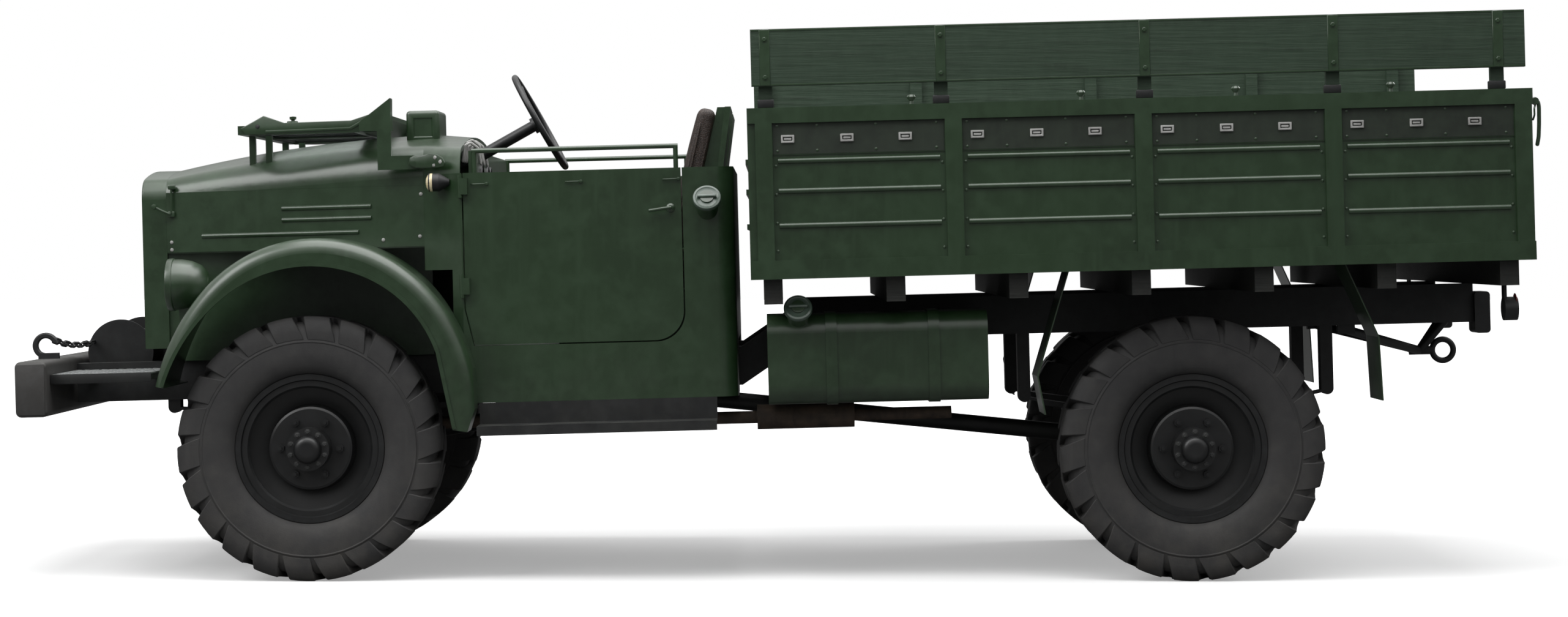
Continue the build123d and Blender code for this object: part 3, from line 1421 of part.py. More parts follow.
def rear_buffers():
    """The two rubbing blocks on the rails' ends."""
    y = rail_y - rail_flange / 2
    body = block(buffer_x, buffer_x + buffer_depth, -y - buffer_half_width, -y + buffer_half_width,
                 buffer_bottom_z, buffer_bottom_z + buffer_height)
    return pair(fillet(body.edges().filter_by(Axis.Y), buffer_depth / 4))


def tail_lamps():
    """The round rear lamps below the bed."""
    y = bed_half_width - 4 * overrun
    z = bed_bottom_z - sill_depth - 2 * tail_lamp_radius
    x0 = rail_rear_x
    body = bar((x0, -y, z), (x0 + tail_lamp_depth, -y, z), tail_lamp_radius)
    body += block(x0, x0 + overrun / 4, -y - tail_lamp_radius / 2, -y + tail_lamp_radius / 2, z,
                  bed_bottom_z - sill_depth)
    return pair(body)


# Each node's shape; the first table pitches with the body, the second stands level on the wheels.
sprung = {
    "chassis_frame": chassis_frame(),
    "front_bumper": front_bumper(),
    "front_decks": front_decks(),
    "winch": winch(),
    "tow_hooks": tow_hooks(),
    "radiator_shell": radiator_shell(),
    "grille": grille(),
    "radiator": radiator(),
    "hood_top": hood_top(),
    "hood_sides": hood_sides(),
    "wings": wings(),
    "aprons": aprons(),
    "headlamps": headlamps(),
    "headlamp_lenses": headlamp_lenses(),
    "turn_signals": turn_signals(),
    "cab_tub": cab_tub(),
    "door_left": door(-1) + grab_rails(),
    "door_right": door(1) + mirror(grab_rails(), about=Plane.XZ),
    "dashboard": dashboard(),
    "seat_cushions": seat_cushions(),
    "seat_backs": seat_backs(),
    "seat_frame": seat_frame(),
    "steering_column": steering_column(),
    "steering_wheel": steering_wheel(),
    "windscreen_frame": windscreen_frame(),
    "windscreen_glass": windscreen_glass(),
    "running_boards": running_boards(),
    "fuel_tank": fuel_tank(),
    "exhaust": exhaust(),
    "engine_block": engine_block(),
    "gearboxes": gearboxes(),
    "prop_shafts": prop_shafts(),
    "leaf_springs": leaf_springs(),
    "bed_floor": bed_floor(),
    "bed_sides": bed_sides(),
    "bed_front": bed_front(),
    "bed_rear_sill": bed_rear_sill(),
    "tailgate": tailgate(),
    "upper_boards": upper_boards(),
    "mudguards": mudguards(),
    "rear_hitch": rear_hitch(),
    "rear_buffers": rear_buffers(),
    "tail_lamps": tail_lamps(),
}
level = {
    "front_axle": front_axle(),
    "rear_axle": rear_axle(),
    "tie_rod": tie_rod(),
    "knuckle_left": knuckle(-1),
    "knuckle_right": knuckle(1),
}
wheel_shape, tyre_shape = wheel(), tyre()
for end_name, end_x in (("front", front_axle_x), ("rear", rear_axle_x)):
    for side_name, side in (("left", -1), ("right", 1)):
        level[f"wheel_{end_name}_{side_name}"] = place_wheel(wheel_shape, end_x, side)
        level[f"tyre_{end_name}_{side_name}"] = place_wheel(tyre_shape, end_x, side)

os.makedirs("parts", exist_ok=True)
for name, shape in sprung.items():
    export_step(Rot(0, -body_pitch, 0) * shape, f"parts/{name}.step")
for name, shape in level.items():
    export_step(shape, f"parts/{name}.step")
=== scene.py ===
# %% [markdown]
# # An open military cargo truck
# This lesson dresses a finished construction model of a four-wheel-drive cargo truck. The model comes in as
# a fixed frame: its pieces have their real size and place and already turn, swing and roll on their joints.
# What is left to do here is what the eye judges: the paint and its wear, the rubber, the boards, and the small
# hardware that is too fine for the construction model, such as bolts, clips and pressed lips.

# %% The frame and its box
import bpy
import math
from mathutils import Matrix, Vector


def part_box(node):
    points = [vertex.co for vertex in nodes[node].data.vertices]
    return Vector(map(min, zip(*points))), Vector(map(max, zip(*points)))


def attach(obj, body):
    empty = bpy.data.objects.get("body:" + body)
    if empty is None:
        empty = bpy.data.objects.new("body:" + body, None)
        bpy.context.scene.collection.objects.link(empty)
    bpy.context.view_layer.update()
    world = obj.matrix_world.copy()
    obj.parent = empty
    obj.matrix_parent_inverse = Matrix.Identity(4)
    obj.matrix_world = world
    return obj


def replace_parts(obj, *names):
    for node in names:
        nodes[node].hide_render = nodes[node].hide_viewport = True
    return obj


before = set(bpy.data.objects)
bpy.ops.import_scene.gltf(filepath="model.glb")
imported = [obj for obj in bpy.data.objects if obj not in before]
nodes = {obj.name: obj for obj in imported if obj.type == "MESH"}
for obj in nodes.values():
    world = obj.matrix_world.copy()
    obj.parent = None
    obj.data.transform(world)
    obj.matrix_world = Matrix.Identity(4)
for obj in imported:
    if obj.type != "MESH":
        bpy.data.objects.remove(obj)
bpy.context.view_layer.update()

# %% [markdown]
# ## The camera comes first
# The photograph was taken level, from the driver's side, with a long lens. The camera stands 13.5 m away at
# eye height and looks square at the truck. A shift, and not a tilt, sets the truck in the frame, so that
# upright lines stay upright.

# %% The camera
VIEW_DISTANCE = 13.53
EYE_HEIGHT = 1.27
EYE_X = -0.019
LENS = 77.7
SENSOR = 36.0
FAR_CLIP = 200
PHOTO_WIDTH = 2562
PHOTO_HEIGHT = 1008
CENTRE_PIXEL_X = 1261
CENTRE_PIXEL_Y = 394

bpy.ops.object.select_all(action="DESELECT")
bpy.ops.object.camera_add(location=(EYE_X, -VIEW_DISTANCE, EYE_HEIGHT), rotation=(math.radians(90), 0, 0))
camera = bpy.context.object
camera.name = "camera"
camera.data.lens = LENS
camera.data.sensor_width = SENSOR
camera.data.shift_x = (PHOTO_WIDTH / 2 - CENTRE_PIXEL_X) / PHOTO_WIDTH
camera.data.shift_y = (CENTRE_PIXEL_Y - PHOTO_HEIGHT / 2) / PHOTO_WIDTH
camera.data.clip_end = FAR_CLIP
bpy.context.scene.camera = camera
print("shift", round(camera.data.shift_x, 4), round(camera.data.shift_y, 4))

# %% [markdown]
# ## Studio light and floor
# The photograph shows the truck on white, yet its upright sides are deep in colour and only surfaces that look
# up shine pale. One plain white world would be the quick way, but it washes the sides out. So the world is
# white for the camera alone, and for reflections it runs from dim at the horizon to bright overhead. The floor
# is white to the camera and grey to everything else, so it throws little light back and still keeps the shadow.

# %% Floor, world and lamps
FLOOR_SIZE = 120
bpy.ops.mesh.primitive_plane_add(size=FLOOR_SIZE, location=(0, 0, 0))
floor = bpy.context.object
floor.name = "floor"


def new_material(name):
    """A material with nodes, its tree and its Principled shader."""
    material = bpy.data.materials.new(name)
    material.use_nodes = True
    tree = material.node_tree
    shader = tree.nodes["Principled BSDF"]
    return material, tree, shader


def link(tree, source, target):
    """Joins an output socket to an input socket."""
    tree.links.new(source, target)


def feed(tree, node, **values):
    """Sets inputs by name, an underscore for a space: each value is a socket to link, a number or a colour."""
    for name, value in values.items():
        socket = node.inputs[name.replace("_", " ")]
        if isinstance(value, bpy.types.NodeSocket):
            link(tree, value, socket)
        else:
            socket.default_value = value
    return node


def add_node(tree, kind, **values):
    """A new node of one kind, its inputs fed."""
    return feed(tree, tree.nodes.new("ShaderNode" + kind), **values)


def add_range(tree, value, low, high, to_low=0.0, to_high=1.0):
    """Maps a value between two limits, clamped."""
    ramp = add_node(tree, "MapRange", Value=value, From_Min=low, From_Max=high, To_Min=to_low, To_Max=to_high)
    return ramp.outputs["Result"]


def add_math(tree, operation, first, second):
    """A math node of two sockets or numbers."""
    node = add_node(tree, "Math")
    node.operation = operation
    for place, value in enumerate((first, second)):
        if isinstance(value, (int, float)):
            node.inputs[place].default_value = value
        else:
            link(tree, value, node.inputs[place])
    return node.outputs[0]


def add_mix(tree, factor, first, second):
    """Mixes two colours; each is a socket or four numbers."""
    mix = add_node(tree, "Mix", Factor=factor)
    mix.data_type = "RGBA"
    for name, value in (("A", first), ("B", second)):
        socket = [s for s in mix.inputs if s.name == name and s.type == "RGBA"][0]
        if isinstance(value, tuple):
            socket.default_value = value
        else:
            link(tree, value, socket)
    return [s for s in mix.outputs if s.type == "RGBA"][0]


FLOOR_WHITE = (0.86, 0.86, 0.86, 1)
FLOOR_GREY = (0.16, 0.16, 0.16, 1)
SHADOW_REACH = (3.4, 6.0)
SHADOW_GLOW = (0.3, 1.0)
floor_material, floor_tree, floor_shader = new_material("studio_floor")
floor_path = add_node(floor_tree, "LightPath")
direct = add_math(floor_tree, "MAXIMUM", floor_path.outputs["Is Camera Ray"],
                  floor_path.outputs["Is Transmission Ray"])
floor_place = add_node(floor_tree, "TexCoord")
floor_far = add_node(floor_tree, "VectorMath")
floor_far.operation = "LENGTH"
link(floor_tree, floor_place.outputs["Object"], floor_far.inputs[0])
glow = add_range(floor_tree, floor_far.outputs["Value"], *SHADOW_REACH, *SHADOW_GLOW)
feed(floor_tree, floor_shader, Base_Color=add_mix(floor_tree, direct, FLOOR_GREY, FLOOR_WHITE),
     Emission_Strength=add_math(floor_tree, "MULTIPLY", glow, direct), Emission_Color=(1, 1, 1, 1),
     Roughness=1.0, Specular_IOR_Level=0.0)
floor.data.materials.append(floor_material)

AMBIENT = 0.6
SKY_HEIGHTS = (0.06, 0.5)
SKY_SHINE = (0.05, 0.95)
world = bpy.data.worlds.new("studio")
bpy.context.scene.world = world
world.use_nodes = True
sky = world.node_tree
path = add_node(sky, "LightPath")
direction = add_node(sky, "TexCoord").outputs["Generated"]
shine = add_range(sky, add_node(sky, "SeparateXYZ", Vector=direction).outputs["Z"], *SKY_HEIGHTS, *SKY_SHINE)
seen = add_math(sky, "MAXIMUM", path.outputs["Is Camera Ray"], path.outputs["Is Transmission Ray"])
unseen = add_math(sky, "SUBTRACT", 1.0, seen)
glossy = add_math(sky, "MULTIPLY", path.outputs["Is Glossy Ray"], shine)
matt = add_math(sky, "MULTIPLY", add_math(sky, "SUBTRACT", 1.0, path.outputs["Is Glossy Ray"]), AMBIENT)
lit = add_math(sky, "MULTIPLY", unseen, add_math(sky, "ADD", glossy, matt))
feed(sky, sky.nodes["Background"], Strength=add_math(sky, "ADD", seen, lit), Color=(1, 1, 1, 1))


def soft_lamp(name, place, aim, size, power):
    """A square soft lamp at a place, turned to face a point."""
    bpy.ops.object.light_add(type="AREA", location=place)
    lamp = bpy.context.object
    lamp.name = name
    lamp.data.size = size
    lamp.data.energy = power
    lamp.rotation_euler = (Vector(aim) - Vector(place)).to_track_quat("-Z", "Y").to_euler()


soft_lamp("overhead", (0, -1.5, 7), (0, 0, 1), 7, 520)
soft_lamp("front_side", (-8, -5, 7.5), (-1, 0, 1), 5, 380)
soft_lamp("rear_side", (8, 5, 7), (1, 0, 1), 5, 240)
bpy.context.scene.view_settings.view_transform = "Standard"

# %% [markdown]
# ## What paint on steel does
# The whole truck wears one satin green, and what makes it look like paint and not plastic is small: the colour
# drifts a little from panel to panel, dust lies where water leaves it, edges are rubbed brighter, and the skin
# has a faint orange peel. Each of these is one node group, made once, and every material sets its own amounts.

# %% Shared effects as node groups
def new_group(name, inputs, outputs):
    """An empty shader group with named sockets; each input is (name, socket type, default)."""
    group = bpy.data.node_groups.new(name, "ShaderNodeTree")
    for label, kind, value in inputs:
        socket = group.interface.new_socket(label, in_out="INPUT", socket_type=kind)
        socket.default_value = value
    for label, kind in outputs:
        group.interface.new_socket(label, in_out="OUTPUT", socket_type=kind)
    entry = group.nodes.new("NodeGroupInput")
    leave = group.nodes.new("NodeGroupOutput")
    return group, entry, leave


def add_noise(tree, vector, scale, detail=4.0, roughness=0.55):
    """A noise texture read at a vector socket."""
    noise = add_node(tree, "TexNoise", Vector=vector, Scale=scale, Detail=detail, Roughness=roughness)
    return noise.outputs["Fac"]


COLOUR = "NodeSocketColor"
NUMBER = "NodeSocketFloat"
VECTOR = "NodeSocketVector"

# Drift of colour over a panel: broad clouds, a finer mottle and faint upright streaks.
drift_group, entry, leave = new_group(
    "colour_drift",
    [("Vector", VECTOR, (0, 0, 0)), ("Colour", COLOUR, (0.5, 0.5, 0.5, 1)), ("Dark", COLOUR, (0, 0, 0, 1)),
     ("Light", COLOUR, (1, 1, 1, 1)), ("Amount", NUMBER, 0.5)],
    [("Colour", COLOUR)])
broad = add_range(drift_group, add_noise(drift_group, entry.outputs["Vector"], 1.3), 0.35, 0.7)
fine = add_range(drift_group, add_noise(drift_group, entry.outputs["Vector"], 14, 6), 0.42, 0.68)
stretch = add_node(drift_group, "Mapping", Vector=entry.outputs["Vector"], Scale=(9, 9, 0.6))
streaks = add_range(drift_group, add_noise(drift_group, stretch.outputs["Vector"], 2.2), 0.5, 0.75)
darker = add_math(drift_group, "MULTIPLY", broad, entry.outputs["Amount"])
first_mix = add_mix(drift_group, darker, entry.outputs["Colour"], entry.outputs["Dark"])
lighter = add_math(drift_group, "MULTIPLY", add_math(drift_group, "MAXIMUM", fine, streaks),
                   entry.outputs["Amount"])
link(drift_group, add_mix(drift_group, lighter, first_mix, entry.outputs["Light"]), leave.inputs["Colour"])

# Dust: it settles on faces that look up, and splashes reach up from the ground.
dust_group, entry, leave = new_group(
    "dust",
    [("Vector", VECTOR, (0, 0, 0)), ("Colour", COLOUR, (0.5, 0.5, 0.5, 1)),
     ("Dust", COLOUR, (0.3, 0.28, 0.24, 1)), ("Top", NUMBER, 0.3), ("Splash", NUMBER, 0.3),
     ("Splash height", NUMBER, 0.8)],
    [("Colour", COLOUR), ("Mask", NUMBER)])
normal = add_node(dust_group, "NewGeometry").outputs["Normal"]
normal_parts = add_node(dust_group, "SeparateXYZ", Vector=normal)
place_parts = add_node(dust_group, "SeparateXYZ", Vector=entry.outputs["Vector"])
speckle = add_range(dust_group, add_noise(dust_group, entry.outputs["Vector"], 9, 8, 0.65), 0.38, 0.72)
settled = add_math(dust_group, "MULTIPLY", add_range(dust_group, normal_parts.outputs["Z"], 0.5, 1.0),
                   entry.outputs["Top"])
settled = add_math(dust_group, "MULTIPLY", settled, speckle)
height = add_math(dust_group, "DIVIDE", place_parts.outputs["Z"], entry.outputs["Splash height"])
reach = add_range(dust_group, height, 0.0, 1.0, 1.0, 0.0)
splashed = add_math(dust_group, "MULTIPLY", add_math(dust_group, "MULTIPLY", reach, entry.outputs["Splash"]),
                    speckle)
mask = add_math(dust_group, "MAXIMUM", settled, splashed)
feed(dust_group, leave, Colour=add_mix(dust_group, mask, entry.outputs["Colour"], entry.outputs["Dust"]),
     Mask=mask)

# Wear: edges are found from how sharply the surface turns, broken up by a noise.
wear_group, entry, leave = new_group(
    "edge_wear",
    [("Vector", VECTOR, (0, 0, 0)), ("Colour", COLOUR, (0.5, 0.5, 0.5, 1)),
     ("Worn", COLOUR, (0.5, 0.5, 0.5, 1)), ("Amount", NUMBER, 0.5)],
    [("Colour", COLOUR)])
edge = add_range(wear_group, add_node(wear_group, "NewGeometry").outputs["Pointiness"], 0.52, 0.6)
broken = add_range(wear_group, add_noise(wear_group, entry.outputs["Vector"], 22, 6, 0.7), 0.45, 0.62)
chipped = add_math(wear_group, "MULTIPLY", edge, broken)
worn = add_math(wear_group, "MULTIPLY", chipped, entry.outputs["Amount"])
link(wear_group, add_mix(wear_group, worn, entry.outputs["Colour"], entry.outputs["Worn"]),
     leave.inputs["Colour"])

# Orange peel and small dents, as a height.
peel_group, entry, leave = new_group(
    "paint_peel",
    [("Vector", VECTOR, (0, 0, 0)), ("Scale", NUMBER, 1.0)],
    [("Height", NUMBER)])
scaled = add_node(peel_group, "VectorMath")
scaled.operation = "SCALE"
link(peel_group, entry.outputs["Vector"], scaled.inputs[0])
link(peel_group, entry.outputs["Scale"], scaled.inputs["Scale"])
peel = add_noise(peel_group, scaled.outputs[0], 260, 2)
waves = add_noise(peel_group, scaled.outputs[0], 3.5, 2)
link(peel_group, add_math(peel_group, "ADD", add_math(peel_group, "MULTIPLY", peel, 0.05), waves),
     leave.inputs["Height"])

# Wood grain under paint, as a height and a mask; the boards run along X.
grain_group, entry, leave = new_group(
    "board_grain",
    [("Vector", VECTOR, (0, 0, 0)), ("Scale", NUMBER, 1.0)],
    [("Height", NUMBER), ("Mask", NUMBER)])
long_way = add_node(grain_group, "Mapping", Vector=entry.outputs["Vector"], Scale=(1.2, 26, 26))
figure = add_noise(grain_group, long_way.outputs["Vector"], 3.0, 8, 0.6)
link(grain_group, add_math(grain_group, "MULTIPLY", figure, entry.outputs["Scale"]), leave.inputs["Height"])
link(grain_group, add_range(grain_group, figure, 0.5, 0.68), leave.inputs["Mask"])
print("groups", sorted(group.name for group in bpy.data.node_groups))


# %% The painted finishes
def object_vector(tree):
    """The Object coordinates, which are the truck's own metres."""
    return add_node(tree, "TexCoord").outputs["Object"]


def add_group(tree, group, **values):
    """Places a shared effect and feeds its inputs."""
    node = add_node(tree, "Group")
    node.node_tree = group
    return feed(tree, node, **values)


def add_bump(tree, shader, height, strength, distance):
    """Feeds a height to the shader's normal."""
    bump = add_node(tree, "Bump", Strength=strength, Distance=distance, Height=height)
    link(tree, bump.outputs["Normal"], shader.inputs["Normal"])


DUST = (0.07, 0.074, 0.058, 1)
WEAR = 0.5
SPLASH_HEIGHT = 1.1
DUSTY_ROUGHNESS = 0.85
COAT_ROUGHNESS = 0.25


def painted(name, colour, dark, light, roughness, top=0.2, splash=0.2, drift=0.3, coat=0.0):
    """Paint on sheet steel, with its drift, dust, rubbed edges and peel."""
    material, tree, shader = new_material(name)
    vector = object_vector(tree)
    drifted = add_group(tree, drift_group, Vector=vector, Colour=colour, Dark=dark, Light=light, Amount=drift)
    rubbed = add_group(tree, wear_group, Vector=vector, Colour=drifted.outputs["Colour"], Worn=light,
                       Amount=WEAR)
    dusty = add_group(tree, dust_group, Vector=vector, Colour=rubbed.outputs["Colour"], Dust=DUST, Top=top,
                      Splash=splash, Splash_height=SPLASH_HEIGHT)
    satin = add_range(tree, dusty.outputs["Mask"], 0.0, 0.6, roughness, DUSTY_ROUGHNESS)
    feed(tree, shader, Base_Color=dusty.outputs["Colour"], Roughness=satin, Coat_Weight=coat,
         Coat_Roughness=COAT_ROUGHNESS)
    peel = add_group(tree, peel_group, Vector=vector, Scale=1.0)
    add_bump(tree, shader, peel.outputs["Height"], 0.35, 0.004)
    return material


GREEN = (0.0105, 0.0345, 0.0085, 1)
GREEN_DARK = (0.0065, 0.022, 0.0055, 1)
GREEN_LIGHT = (0.021, 0.05, 0.02, 1)
BLACK = (0.0075, 0.008, 0.0085, 1)
BLACK_DARK = (0.004, 0.0045, 0.005, 1)
BLACK_LIGHT = (0.018, 0.019, 0.02, 1)
# A charcoal grey for the black bumper paint: painted sheen.
PAINTED_SHEEN_GREY = (0.042, 0.04, 0.038, 1)

green_paint = painted("green_paint", GREEN, GREEN_DARK, GREEN_LIGHT, 0.4, drift=0.75, coat=0.8)
# A darker green that is painted shade, for the bed's recessed strips.
painted_shade_green = painted("painted_shade_green", (0.009, 0.017, 0.0085, 1), (0.005, 0.009, 0.005, 1),
                      (0.016, 0.026, 0.015, 1), 0.6, drift=0.8)
wheel_paint = painted("wheel_paint", (0.004, 0.0042, 0.0046, 1), (0.002, 0.0022, 0.0024, 1), BLACK_LIGHT,
                      0.42, top=0.05, splash=0.05, coat=0.15)
chassis_paint = painted("chassis_paint", BLACK, BLACK_DARK, BLACK_LIGHT, 0.5, top=0.35, splash=0.3)
# The bumper is black paint; its charcoal grey is a painted sheen, with dust on top.
bumper_painted_sheen = painted("bumper_painted_sheen", PAINTED_SHEEN_GREY, BLACK, (0.07, 0.07, 0.07, 1), 0.5, top=0.5, splash=0.2)
# The deck is black plate: its pale grey is a painted sheen for the light on its upper face, with dust on top.
deck_painted_sheen = painted("deck_painted_sheen", (0.17, 0.18, 0.18, 1), (0.07, 0.073, 0.075, 1), (0.3, 0.31, 0.31, 1),
                     0.4, top=0.3)
casting_paint = painted("casting_paint", (0.02, 0.021, 0.021, 1), BLACK_DARK, (0.05, 0.05, 0.05, 1), 0.6)
painted("silencer_rust", (0.05, 0.036, 0.028, 1), (0.025, 0.018, 0.014, 1), (0.095, 0.066, 0.046, 1), 0.75,
        drift=0.9)
bare_steel = painted("bare_steel", (0.34, 0.34, 0.33, 1), (0.12, 0.11, 0.1, 1), (0.6, 0.6, 0.58, 1), 0.35)
print("paints", len(bpy.data.materials))

# %% [markdown]
# ## Rubber, boards, glass and hide
# Tyre rubber is never black: its side wall is a dull dark grey with a bloom, dustier towards the tread. Painted
# boards keep their grain through the paint, and the bed's floor shows the seams between its planks. The seats
# wear a brown-black hide with fine creases. A picture of each could be wrapped round the piece, but a pattern of
# nodes that reads the truck's own metres fits every piece without a seam, so that way is taken.

# %% Rubber
def rubber_finish():
    """Dull side-wall rubber with a grey bloom and dust in patches."""
    material, tree, shader = new_material("tyre_rubber")
    vector = object_vector(tree)
    drifted = add_group(tree, drift_group, Vector=vector, Colour=(0.03, 0.0295, 0.03, 1),
                        Dark=(0.018, 0.018, 0.0185, 1), Light=(0.05, 0.049, 0.047, 1), Amount=0.45)
    dusty = add_group(tree, dust_group, Vector=vector, Colour=drifted.outputs["Colour"],
                      Dust=(0.085, 0.078, 0.068, 1), Top=0.3, Splash=0.5, Splash_height=0.7)
    feed(tree, shader, Base_Color=dusty.outputs["Colour"], Roughness=0.72)
    add_bump(tree, shader, add_noise(tree, vector, 180, 3), 0.25, 0.002)
    return material


tyre_rubber = rubber_finish()


# %% Boards
def board_finish(name, colour, dark, light, plank=0.0):
    """Paint over boards whose grain still shows, with seams where a plank's width is given."""
    material, tree, shader = new_material(name)
    vector = object_vector(tree)
    grain = add_group(tree, grain_group, Vector=vector, Scale=1.0)
    grained = add_mix(tree, grain.outputs["Mask"], colour, dark)
    drifted = add_group(tree, drift_group, Vector=vector, Colour=grained, Dark=dark, Light=light, Amount=0.35)
    worn = add_group(tree, wear_group, Vector=vector, Colour=drifted.outputs["Colour"], Worn=light, Amount=WEAR)
    dusty = add_group(tree, dust_group, Vector=vector, Colour=worn.outputs["Colour"], Dust=DUST, Top=0.4,
                      Splash=0.0, Splash_height=1.0)
    colour_out = dusty.outputs["Colour"]
    if plank:
        across = add_node(tree, "SeparateXYZ", Vector=vector).outputs["Y"]
        to_seam = add_math(tree, "PINGPONG", across, plank / 2)
        colour_out = add_mix(tree, add_range(tree, to_seam, *SEAM_HALF_WIDTH), dark, colour_out)
    feed(tree, shader, Base_Color=colour_out, Roughness=0.58)
    add_bump(tree, shader, grain.outputs["Height"], 0.5, 0.004)


SEAM_HALF_WIDTH = (0.002, 0.005)
PLANK = 0.18
board_finish("board_paint", (0.0185, 0.0405, 0.021, 1), (0.0115, 0.0265, 0.0125, 1), (0.03, 0.056, 0.032, 1))
board_finish("floor_boards", (0.012, 0.0135, 0.0115, 1), (0.007, 0.008, 0.007, 1), (0.022, 0.022, 0.019, 1),
             plank=PLANK)


# %% Hide
def hide_finish():
    """Brown-black seat hide: fine creases as a height, and painted shade darkens the colour along them."""
    material, tree, shader = new_material("seat_hide")
    vector = object_vector(tree)
    cells = add_node(tree, "TexVoronoi", Vector=vector, Scale=130)
    cells.feature = "DISTANCE_TO_EDGE"
    crease_height_and_shade = add_range(tree, cells.outputs["Distance"], 0.0, 0.12)
    drifted = add_group(tree, drift_group, Vector=vector, Colour=(0.03, 0.019, 0.015, 1),
                        Dark=(0.013, 0.0095, 0.0085, 1), Light=(0.075, 0.048, 0.036, 1), Amount=0.6)
    worn = add_group(tree, wear_group, Vector=vector, Colour=drifted.outputs["Colour"],
                     Worn=(0.12, 0.08, 0.06, 1), Amount=0.4)
    # The colour is darkened along the creases: painted shade in the creases.
    coloured = add_mix(tree, crease_height_and_shade, (0.011, 0.008, 0.007, 1), worn.outputs["Colour"])
    feed(tree, shader, Base_Color=coloured, Roughness=0.48)
    add_bump(tree, shader, crease_height_and_shade, 0.4, 0.002)
    return material


seat_hide = hide_finish()


# %% Glass
FILM = 0.12


def glass_finish(name, tint, roughness):
    """Clear plate glass with a little road film."""
    material, tree, shader = new_material(name)
    vector = object_vector(tree)
    film = add_range(tree, add_noise(tree, vector, 6, 6), 0.45, 0.75, roughness, roughness + FILM)
    feed(tree, shader, Base_Color=tint, Transmission_Weight=1.0, IOR=1.45, Roughness=film)
    return material


glass_finish("pane_glass", (0.86, 0.92, 0.89, 1), 0.02)
lamp_glass = glass_finish("lamp_glass", (0.95, 0.95, 0.92, 1), 0.05)
print("materials", len(bpy.data.materials))

# %% [markdown]
# ## A finish for each piece of the frame
# Each node that came with the frame takes one finish. It could be set by hand, node by node, but a table from
# finish to names is easier to read and to change. The shapes stay as they are: only the slots change.

# %% Finishes by node
FINISH = {
    "green_paint": ("radiator_shell", "grille", "hood_top", "hood_sides", "wings", "aprons", "headlamps",
                    "cab_tub", "door_left", "door_right", "dashboard", "seat_frame", "windscreen_frame",
                    "fuel_tank", "bed_sides", "bed_front", "bed_rear_sill", "tailgate", "mudguards"),
    "chassis_paint": ("chassis_frame", "winch", "tow_hooks", "running_boards", "prop_shafts", "leaf_springs",
                      "rear_hitch", "rear_buffers", "tail_lamps", "front_axle", "rear_axle", "tie_rod",
                      "radiator", "turn_signals"),
    "wheel_paint": ("steering_wheel", "steering_column", "wheel_front_left", "wheel_front_right",
                    "wheel_rear_left", "wheel_rear_right"),
    "bumper_painted_sheen": ("front_bumper",),
    "deck_painted_sheen": ("front_decks",),
    "casting_paint": ("engine_block", "gearboxes", "knuckle_left", "knuckle_right"),
    "silencer_rust": ("exhaust",),
    "tyre_rubber": ("tyre_front_left", "tyre_front_right", "tyre_rear_left", "tyre_rear_right"),
    "board_paint": ("upper_boards",),
    "floor_boards": ("bed_floor",),
    "seat_hide": ("seat_cushions", "seat_backs"),
    "pane_glass": ("windscreen_glass",),
    "lamp_glass": ("headlamp_lenses",),
}
for finish, names in FINISH.items():
    for name in names:
        nodes[name].data.materials.clear()
        nodes[name].data.materials.append(bpy.data.materials[finish])
print("dressed", sum(len(names) for names in FINISH.values()), "of", len(nodes))

# %% [markdown]
# ## A small workshop of moves
# From here on pieces are modelled one by one: a primitive or a chain of points, shaped in edit mode, then
# finished with a rounded edge. The helpers below are the moves that come back again and again. The body of the
# truck
# stands a degree and a half nose down on its springs, so a piece for the body is built level and then pitched.

# %% Moves: place, pick, turn on a lathe, cut from plate, copy
BODY_PITCH = math.radians(1.5)
NEAR = 1e-5
SHARP_EDGE = math.radians(35)


def deselect():
    """Nothing stays selected, so that the next operator acts on one piece."""
    bpy.ops.object.select_all(action="DESELECT")


def only(piece):
    """One piece selected and active."""
    deselect()
    piece.select_set(True)
    bpy.context.view_layer.objects.active = piece


def settle(piece):
    """Puts the object's place, turn and scale into its mesh."""
    only(piece)
    bpy.ops.object.transform_apply(location=True, rotation=True, scale=True)


def tidy_mesh(piece):
    """Merges doubled points and turns all faces outwards."""
    only(piece)
    bpy.ops.object.mode_set(mode="EDIT")
    bpy.ops.mesh.select_all(action="SELECT")
    bpy.ops.mesh.remove_doubles(threshold=NEAR)
    bpy.ops.mesh.normals_make_consistent(inside=False)
    bpy.ops.object.mode_set(mode="OBJECT")


def rounded(piece, offset, segments=2):
    """Bevels the sharp edges of a piece."""
    only(piece)
    bevel = piece.modifiers.new("edge", "BEVEL")
    bevel.width = offset
    bevel.segments = segments
    bevel.limit_method = "ANGLE"
    bevel.angle_limit = SHARP_EDGE
    bpy.ops.object.modifier_apply(modifier=bevel.name)
    return piece


def chain(name, points):
    """A chain of joined points: a plane merged to one point, which is then pulled from place to place."""
    deselect()
    bpy.context.tool_settings.mesh_select_mode = (True, False, False)
    bpy.ops.mesh.primitive_plane_add(size=1)
    piece = bpy.context.object
    piece.name = name
    bpy.ops.object.mode_set(mode="EDIT")
    bpy.ops.mesh.select_all(action="SELECT")
    bpy.ops.mesh.merge(type="CENTER")
    bpy.ops.transform.translate(value=points[0])
    for start, end in zip(points, points[1:]):
        step = Vector(end) - Vector(start)
        bpy.ops.mesh.extrude_region_move(TRANSFORM_OT_translate={"value": step})
    bpy.ops.mesh.select_all(action="SELECT")
    return piece


